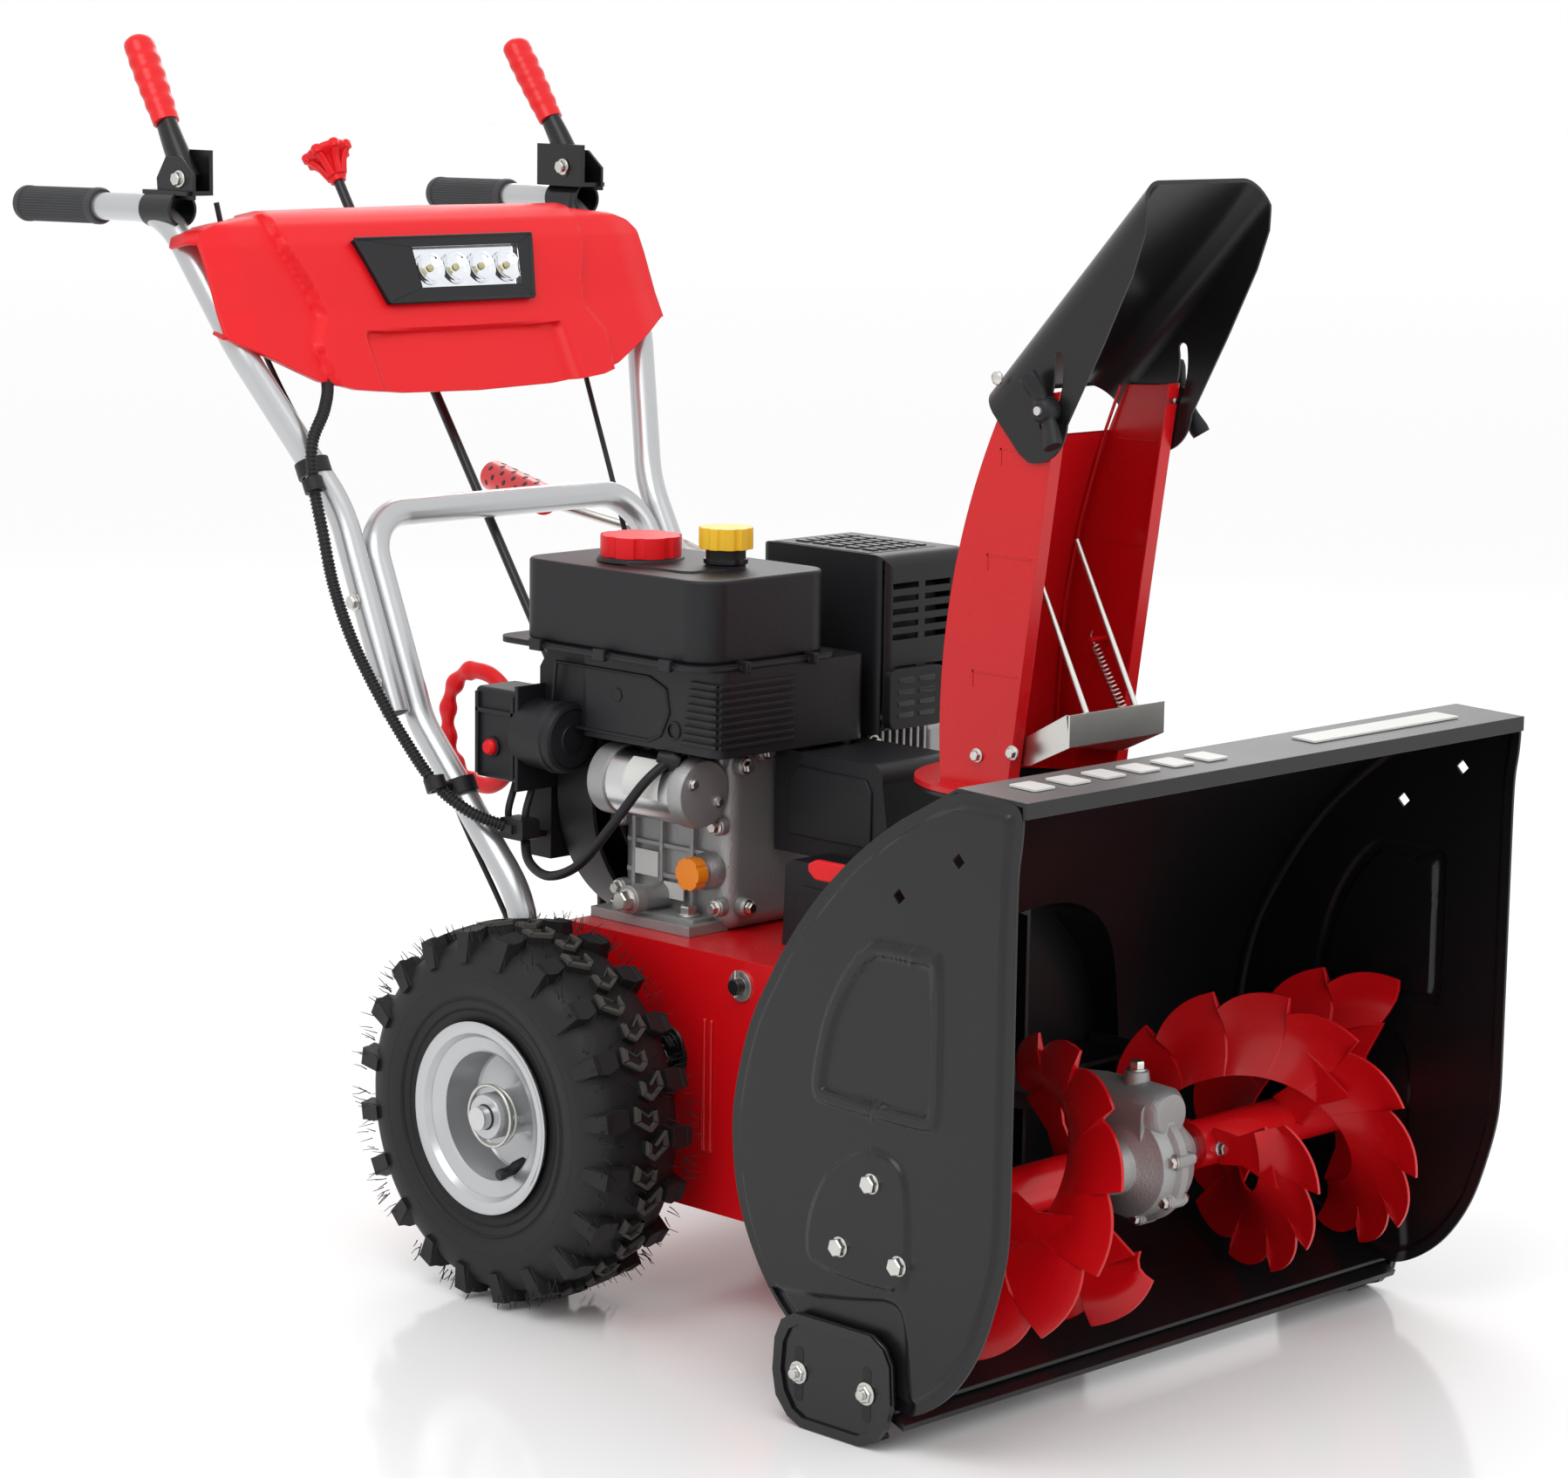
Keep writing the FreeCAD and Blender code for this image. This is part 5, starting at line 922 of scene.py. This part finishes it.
def tank_details():
    mesh = bmesh.new()
    add_prism(mesh, rounded_outline(83, 132, 24, 8, (-82, 607)), 541, 544.4, "z")
    for x, y in ((-166, 520), (-166, 600), (-166, 680), (-120, 475), (-40, 475)):
        add_box(mesh, (x - 2.5, y - 7, 539), (x + 2.5, y + 7, 549))
    add_prism(mesh, rounded_outline(30, 60, 12, 6, (-100, 590)), 615, 618, "z", 0, 0.04)
    add_lathe(mesh, [(0, 38), (3, 37), (4, 34)], (-96, 625, 617), (0, 0, 1), 48)
    bevelled(finish_mesh("tank_seam", mesh, MOULD, "chassis", smooth=35), 0.8)
    mesh = bmesh.new()
    add_lathe(mesh, [(0, 16.5), (6, 16), (8, 19), (12, 19), (12, 16), (20, 16)], (-72, 546, 612), (0, 0,
        1), 40)
    finish_mesh("oil_neck_gloss", mesh, BLACK_GLOSS, "chassis", smooth=35)
    mesh = bmesh.new()
    for index in range(9):
        z = 476 + index * 6.4
        add_box(mesh, (-148.2, 478, z), (-145.5, 520 - index * 1.4, z + 3.4))
        add_box(mesh, (-146, 473.8, z), (-60, 476.4, z + 3.4))
    pocket = [(560, 474), (676, 474), (682, 484), (676, 528), (560, 528), (540, 520), (536, 500), (546,
        480)]
    for first, last in zip(pocket, pocket[1:] + pocket[:1]):
        add_tube(mesh, [(-146.2, *first), (-146.2, *last)], 1.6, 8)
    add_prism(mesh, [(640, 470), (704, 478), (704, 520), (690, 541), (640, 541)], -140, 24, "x", 0, 0.02)
    add_prism(mesh, rounded_outline(22, 18, 6, 4, (-100, 506)), 700, 712, "y", 0, 0.1)
    add_lathe(mesh, [(0, 8), (1.2, 8), (1.6, 6)], (-146, 530, 486), (-1, 0, 0), 32)
    add_lathe(mesh, [(0, 6), (0.8, 6), (0.8, 0)], (-146, 600, 508), (-1, 0, 0), 20)
    finish_mesh("shroud_details", mesh, MOULD, "chassis", smooth=35)


def muffler_details():
    mesh = bmesh.new()
    outline = [(474, 612), (490, 624.6), (604, 624.6), (616, 614)]
    add_prism(mesh, outline, 44, 128)
    for row in range(6):
        for column in range(5):
            x, y = 56 + row * 12, 496 + column * 20
            add_box(mesh, (x, y, 624.2), (x + 7, y + 14, 626.2), 1)
    bevelled(finish_mesh("muffler_top", mesh, [MOULD, BLACK], "chassis", smooth=35), 0.8)
    mesh = bmesh.new()
    add_prism(mesh, rounded_outline(34, 26, 8, 4, (78, 500)), 462, 470, "y")
    for column in range(2):
        for line in range(4):
            low_x, z = 54 + column * 26, 484 + line * 10
            add_box(mesh, (low_x, 461.4, z), (low_x + 20, 462.4, z + 4), 1)
    bevelled(finish_mesh("muffler_boss", mesh, [MOULD, BLACK_GLOSS], "chassis", smooth=35), 0.8)


def pull_handle():
    """The pull handle: a D with finger waves along its grip."""
    mesh = bmesh.new()
    x, y, z = -105, 762, 448
    outer = smooth_path([(x, y + 14, z + 14), (x, y + 26, z + 36), (x, y + 48, z + 49), (x, y + 78,
        z + 48), (x, y + 99, z + 28), (x, y + 104, z), (x, y + 99, z - 28), (x, y + 78, z - 48), (x,
        y + 48, z - 51), (x, y + 26, z - 38), (x, y + 14, z - 14)], 12)

    def wave(share):
        return 7.6 + 1.5 * cos(share * tau * 11) * (0.25 < share < 0.75)
    add_tube(mesh, outer, wave, 16, 0, (0.85, 1.0), Vector((1, 0, 0)))
    add_prism(mesh, rounded_outline(15, 24, 7, 5, (y + 16, z)), x - 9, x + 9)
    finish_mesh("pull_handle_grip", mesh, RED_MOULD, "recoil_handle", ("recoil_handle",), 50)
    mesh = bmesh.new()
    add_lathe(mesh, [(0, 2), (112, 2), (112, 0)], (x, y - 107, z), (0, 1, 0), 12)
    finish_mesh("pull_cord", mesh, RUBBER, "recoil_handle", smooth=60)


# ------------------------------------------------------------------ handlebars

def along_knots(knots, value):
    """The height of a broken line at a value."""
    for (a0, b0), (a1, b1) in zip(knots, knots[1:]):
        if value <= a1:
            return b0 + (b1 - b0) * (value - a0) / (a1 - a0)
    return knots[-1][1]


FRONT_LINE = [(735, 940), (812, 981), (850, 997), (868, 1006), (886, 1020), (894, 1032), (899, 1046)]
LOW_EDGE = [(0, 735), (90, 737), (150, 743), (181, 751), (200, 760), (262, 790)]
HIGH_EDGE = [(0, 899), (176, 898), (190, 893), (236, 888), (257, 881), (264, 872)]
BLOCK_HALF = [(735, 164), (757, 168), (782, 172), (807, 156), (832, 162), (866, 178), (899, 184)]


def console_front(x, z):
    """y of the console's front surface."""
    reach = abs(x)
    y = along_knots(FRONT_LINE, z) - 7
    half = along_knots(BLOCK_HALF, z)
    y += 10 * ramp(reach, half - 1, half + 4) + 6 * ramp(reach, 225, 268)
    below = ramp(792 - z, 0, 4) * (1 - ramp(reach, 112, 120))
    y += 8 * below
    return y


def console():
    """The console: a raised middle, two swept wings and a ledge, with rounded edges and a hollow back."""
    columns, rows = 176, 60
    mesh = bmesh.new()
    grid = []
    for column in range(columns + 1):
        x = -264 + 528 * column / columns
        low, high = along_knots(LOW_EDGE, abs(x)), along_knots(HIGH_EDGE, abs(x))
        line = []
        for row in range(rows + 1):
            z = low + (high - low) * row / rows
            line.append(mesh.verts.new((x, console_front(x, z), z)))
        line.append(mesh.verts.new((x, line[-1].co.y + 16, high - 1)))
        line.append(mesh.verts.new((x, line[-1].co.y + 26, high - 6)))
        line.insert(0, mesh.verts.new((x, line[0].co.y + 6, low - 1)))
        line.insert(0, mesh.verts.new((x, line[0].co.y + 14, low + 3)))
        grid.append(line)
    for first, last in zip(grid, grid[1:]):
        for index in range(len(first) - 1):
            mesh.faces.new((first[index], first[index + 1], last[index + 1], last[index]))
    piece = finish_mesh("console_shell", mesh, RED_MOULD, "chassis", ("control_console",), 38)
    thick = piece.modifiers.new("wall", "SOLIDIFY")
    thick.thickness = 3 * MM
    thick.offset = -1
    return piece


LAMP_OUT = Vector((0, -0.917, 0.4))
LAMP_MIDDLE = 841
LED_PLACES = (-24, 7, 38, 69)
FACE_FOOT = (981, 812)
FACE_SLOPE = 0.43


def on_face(x, z, depth):
    """A point over the lamp's part of the console's face, at a depth outwards."""
    return Vector((x, FACE_FOOT[0] + (z - FACE_FOOT[1]) * FACE_SLOPE, z)) + LAMP_OUT * depth


def face_prism(mesh, outline, low, high, look=0, taper=0.0):
    """A prism standing on the lamp's part of the console's face; the outline is (x, z)."""
    centre = Vector((sum(x for x, z in outline) / len(outline), 0, sum(z for x,
        z in outline) / len(outline)))
    rings = []
    for depth, shrink in ((low, 0), (high, taper)):
        ring = []
        for x, z in outline:
            x = centre.x + (x - centre.x) * (1 - shrink)
            z = centre.z + (z - centre.z) * (1 - shrink)
            ring.append(mesh.verts.new(on_face(x, z, depth)))
        rings.append(ring)
    faces = [mesh.faces.new(rings[0]), mesh.faces.new(list(reversed(rings[1])))]
    for index in range(len(outline)):
        after = (index + 1) % len(outline)
        faces.append(mesh.faces.new((rings[0][index], rings[0][after], rings[1][after], rings[1][index])))
    for face in faces:
        face.material_index = look
    return rings


def lamp():
    outer = [(-106, 868), (107, 868), (90, 811), (-84, 811)]
    window = [(-42, 859), (86, 859), (78, 823), (-42, 823)]
    mesh = bmesh.new()
    for first, last, near, far in zip(outer, outer[1:] + outer[:1], window, window[1:] + window[:1]):
        face_prism(mesh, [first, last, far, near], -3, 12)
    for first, last in zip(outer, outer[1:] + outer[:1]):
        ends = [on_face(x, z, 11.6) for x, z in (first, last)]
        add_tube(mesh, ends, 1.6, 8)
    bevelled(finish_mesh("lamp_surround", mesh, MOULD, "chassis", ("lamp_bezel",), 35),
        0.8)
    mesh = bmesh.new()
    for x in LED_PLACES:
        base = on_face(x, LAMP_MIDDLE, 8.2)
        profile = [(-1, 0), (-0.8, 4), (0, 9), (1.6, 13.2), (2.6, 14.4), (2.6, 15.3)]
        add_lathe(mesh, profile, base, LAMP_OUT, 40)
    face_prism(mesh, window, 6.5, 7.8)
    finish_mesh("lamp_reflectors", mesh, MIRROR, "chassis", smooth=60)
    mesh = bmesh.new()
    for x in LED_PLACES:
        base = on_face(x, LAMP_MIDDLE, 8.5)
        add_lathe(mesh, [(0, 3.4), (1, 3.4), (2.6, 2), (3, 0)], base, LAMP_OUT, 20)
    finish_mesh("lamp_leds", mesh, YELLOW_CHIP, "chassis", smooth=60)
    mesh = bmesh.new()
    face_prism(mesh, window, 11.4, 12.2)
    finish_mesh("lamp_window", mesh, LENS, "chassis", ("lamp_lens",), 35)


def handlebars():
    for side, label in ((-1, "right"), (1, "left")):
        tail = Vector((side * 250, 1292, 896))
        run = (Vector((side * 244, 1090, 899)) - tail).normalized()
        start = tail - run * 4
        mesh = bmesh.new()
        add_lathe(mesh, [(0.2, 0), (0.2, 13), (1.5, 15.6), (4, 16.6), (9, 16.6), (9.6, 15.4), (107, 15.4),
            (107.6, 16.8), (112, 16.8), (114.8, 15.5), (114.8, 12.6)], start, run, 48)
        side_way = run.orthogonal().normalized()
        other = run.cross(side_way)
        for rib in range(40):
            turn = tau * rib / 40
            out = side_way * cos(turn) + other * sin(turn)
            add_tube(mesh, [start + run * 10 + out * 15.3, start + run * 107 + out * 15.3], 0.9, 5)
        finish_mesh(f"grip_{label}", mesh, RUBBER, "chassis", ("handle_grips",), 40)
        lever(side, "drive_lever" if side < 0 else "auger_lever", label)
    knob()
    loom()


def lever(side, node, label):
    """A lever: black round stem from its bracket, and a dipped red sleeve with finger waves."""
    foot = Vector((side * 233, 1076, 930))
    knee = Vector((side * 232.5, 1094, 958))
    tip = Vector((side * 226.5, 1155, 1050))
    run = (tip - knee).normalized()
    mesh = bmesh.new()
    path = [foot - Vector((0, 6, 8)), foot, (foot + knee) / 2, knee, knee + run * 24]
    add_tube(mesh, smooth_path(path, 5), lambda share: 10.0 + 4.0 * (1 - share), 18, 0, (0.85, 1.0),
        Vector((1, 0, 0)))
    finish_mesh(f"lever_stem_{label}", mesh, BLACK, body_of(node), (node,), 50)
    mesh = bmesh.new()
    steps = 44
    path = [knee + run * (20 + ((tip - knee).length - 20) * step / steps) for step in range(steps + 1)]

    def sleeve(share):
        wave = 0.5 * sin(share * tau * 6) * (0.1 < share < 0.82)
        size = 12.6 + 2.2 * sin(min(1, share * 1.1) * pi * 0.62) + wave
        if share > 0.9:
            size *= sqrt(max(0.03, 1 - ((share - 0.9) / 0.1) ** 2))
        return size
    add_tube(mesh, path, sleeve, 20, 0, (1.0, 0.85), Vector((1, 0, 0)))
    finish_mesh(f"lever_sleeve_{label}", mesh, RED_DIP, body_of(node), smooth=60)
    mesh = bmesh.new()
    outline = [(1046, 908), (1098, 908), (1100, 926), (1086, 946), (1066, 946), (1046, 930)]
    add_prism(mesh, outline, side * 244, side * 247)
    add_bolt(mesh, (side * 247, 1066, 926), (side, 0, 0), 11, 5, 8, 1)
    add_bolt(mesh, (side * 221.5, 1076, 930), (-side, 0, 0), 11, 5, 8, 1)
    add_lathe(mesh, [(-22, 13.2), (-22, 16), (22, 16), (22, 13.2)], (side * 244, 1088, 898.6), (0, 0.97,
        -0.02), 32)
    bevelled(finish_mesh(f"lever_bracket_{label}", mesh, [BLACK, ZINC], "chassis", smooth=35), 0.8)


def knob():
    """The speed lever's knob: a flat domed top over four fingers."""
    pivot, top = Vector((0, 1068, 800)), Vector((0, 1158, 935))
    axis = (top - pivot).normalized()
    mesh = bmesh.new()
    add_lathe(mesh, [(-22, 0), (-22, 7.5), (-8, 9), (0, 11), (4, 15), (6, 20.5), (9, 22), (12, 21), (14.5,
        16), (16, 0)], top, axis, 40)
    side_way = axis.orthogonal().normalized()
    other = axis.cross(side_way)
    for lobe in range(7):
        turn = tau * lobe / 7
        out = side_way * cos(turn) + other * sin(turn)
        path = smooth_path([top - axis * 16 + out * 7, top - axis * 2 + out * 12.5,
            top + axis * 6 + out * 18.5], 5)
        add_tube(mesh, path, 3.8, 10)
        add_lathe(mesh, [(4, 0), (5, 5), (11, 5.6), (13, 4), (13, 0)], top + out * 19.5, axis, 14)
    finish_mesh("shift_knob_body", mesh, RED_MOULD, "shift_lever", ("shift_knob",), 50)


def loom():
    """The lamp's corrugated loom with two clips and the connector at its end."""
    route = [(-150, 1000, 772), (-168, 958, 750), (-192, 932, 728), (-214, 922, 700), (-219, 914, 664),
             (-222, 898, 624), (-225, 880, 580), (-225, 856, 536), (-221, 828, 494), (-214, 797, 452),
             (-206, 765, 416), (-192, 736, 394), (-172, 712, 382)]
    path = smooth_path(route, 60)
    mesh = bmesh.new()
    add_tube(mesh, path, 4.7, 14)
    reach = 0.0
    for before, after in zip(path, path[1:]):
        reach += (after - before).length
        if reach >= 3.2:
            reach = 0.0
            heading = (after - before).normalized()
            add_lathe(mesh, [(-0.8, 4.6), (-0.5, 5.6), (0.5, 5.6), (0.8, 4.6)], after, heading, 14)
    finish_mesh("loom_sleeve", mesh, MOULD, "chassis", ("lamp_loom",), 40)
    mesh = bmesh.new()
    for spot, tube_at in (((-219, 914, 664), (-203, 934, 676)), ((-206, 765, 416), (-172, 772, 408))):
        spot, tube_at = Vector(spot), Vector(tube_at)
        heading = Vector((0, 0.45, 0.89))
        add_lathe(mesh, [(-6, 6.0), (-6, 9.5), (6, 9.5), (6, 6.0)], spot, heading, 24)
        add_lathe(mesh, [(-7, 12.6), (-7, 15.5), (7, 15.5), (7, 12.6)], tube_at, heading, 32)
        add_tube(mesh, [spot, tube_at], 4.5, 10)
    add_prism(mesh, rounded_outline(15, 9, 3, 4, (704, 381)), -173, -153)
    add_box(mesh, (-176, 700, 377), (-150, 714, 385))
    finish_mesh("loom_clips", mesh, MOULD, "chassis", smooth=40)


# ------------------------------------------------------------------ stage

def stage():
    """Pale studio: a soft glossy floor, a bright surround, a broad key, a fill and a back light."""
    scene = bpy.context.scene
    bpy.ops.mesh.primitive_plane_add(size=60, location=(0, 0, -0.0005))
    floor = bpy.context.object
    floor.name = "studio_floor"
    look = bpy.data.materials.new("studio_floor")
    look.use_nodes = True
    shader = look.node_tree.nodes["Principled BSDF"]
    shader.inputs["Base Color"].default_value = (0.93, 0.93, 0.93, 1)
    shader.inputs["Roughness"].default_value = 0.12
    shader.inputs["Specular IOR Level"].default_value = 0.35
    floor.data.materials.append(look)
    world = bpy.data.worlds.new("studio")
    world.use_nodes = True
    world.node_tree.nodes["Background"].inputs["Color"].default_value = (1, 1, 1, 1)
    world.node_tree.nodes["Background"].inputs["Strength"].default_value = 1.0
    scene.world = world
    lamps = (("key", (-2.2, -1.0, 3.2), (-0.1, 0, 0.4), 2.2, 44),
             ("fill", (0.6, -3.6, 2.0), (0, 0, 0.4), 2.5, 20),
             ("back", (2.4, 2.2, 2.6), (0, 0.2, 0.6), 2.0, 34))
    for name, spot, aim, width, power in lamps:
        data = bpy.data.lights.new(name, "AREA")
        data.size = width
        data.energy = power
        light = bpy.data.objects.new(name, data)
        light.location = spot
        light.rotation_euler = (Vector(aim) - Vector(spot)).to_track_quat("-Z", "Y").to_euler()
        scene.collection.objects.link(light)
    scene.view_settings.view_transform = "Standard"


EYE_SPOT = (-2606.285, -2038.159, 1072.928)


def camera():
    """The viewpoint: a long lens from the machine's front right, slightly above it."""
    yaw, pitch, roll = radians(-45.253), radians(9.463), radians(0.8)
    back = Vector((sin(yaw) * cos(pitch), -cos(yaw) * cos(pitch), sin(pitch)))
    right = Vector((cos(yaw), sin(yaw), 0))
    up = back.cross(right)
    leaning_right = right * cos(roll) + up * sin(roll)
    leaning_up = up * cos(roll) - right * sin(roll)
    data = bpy.data.cameras.new("camera")
    data.sensor_width = 36
    data.sensor_fit = "HORIZONTAL"
    data.lens = 4948.186 / 1798 * 36
    data.clip_end = 100
    eye = bpy.data.objects.new("camera", data)
    turn = Matrix((leaning_right, leaning_up, back)).transposed().to_4x4()
    eye.matrix_world = Matrix.Translation(at(*EYE_SPOT)) @ turn
    bpy.context.scene.collection.objects.link(eye)
    bpy.context.scene.camera = eye


camera()
stage()
dress()
housing()
skid_shoe(-1, "skid_shoe_right")
skid_shoe(1, "skid_shoe_left")
augers()
chute_parts()
wing_knobs()
crank()
wheels()
tractor()
engine()
console()
lamp()
handlebars()
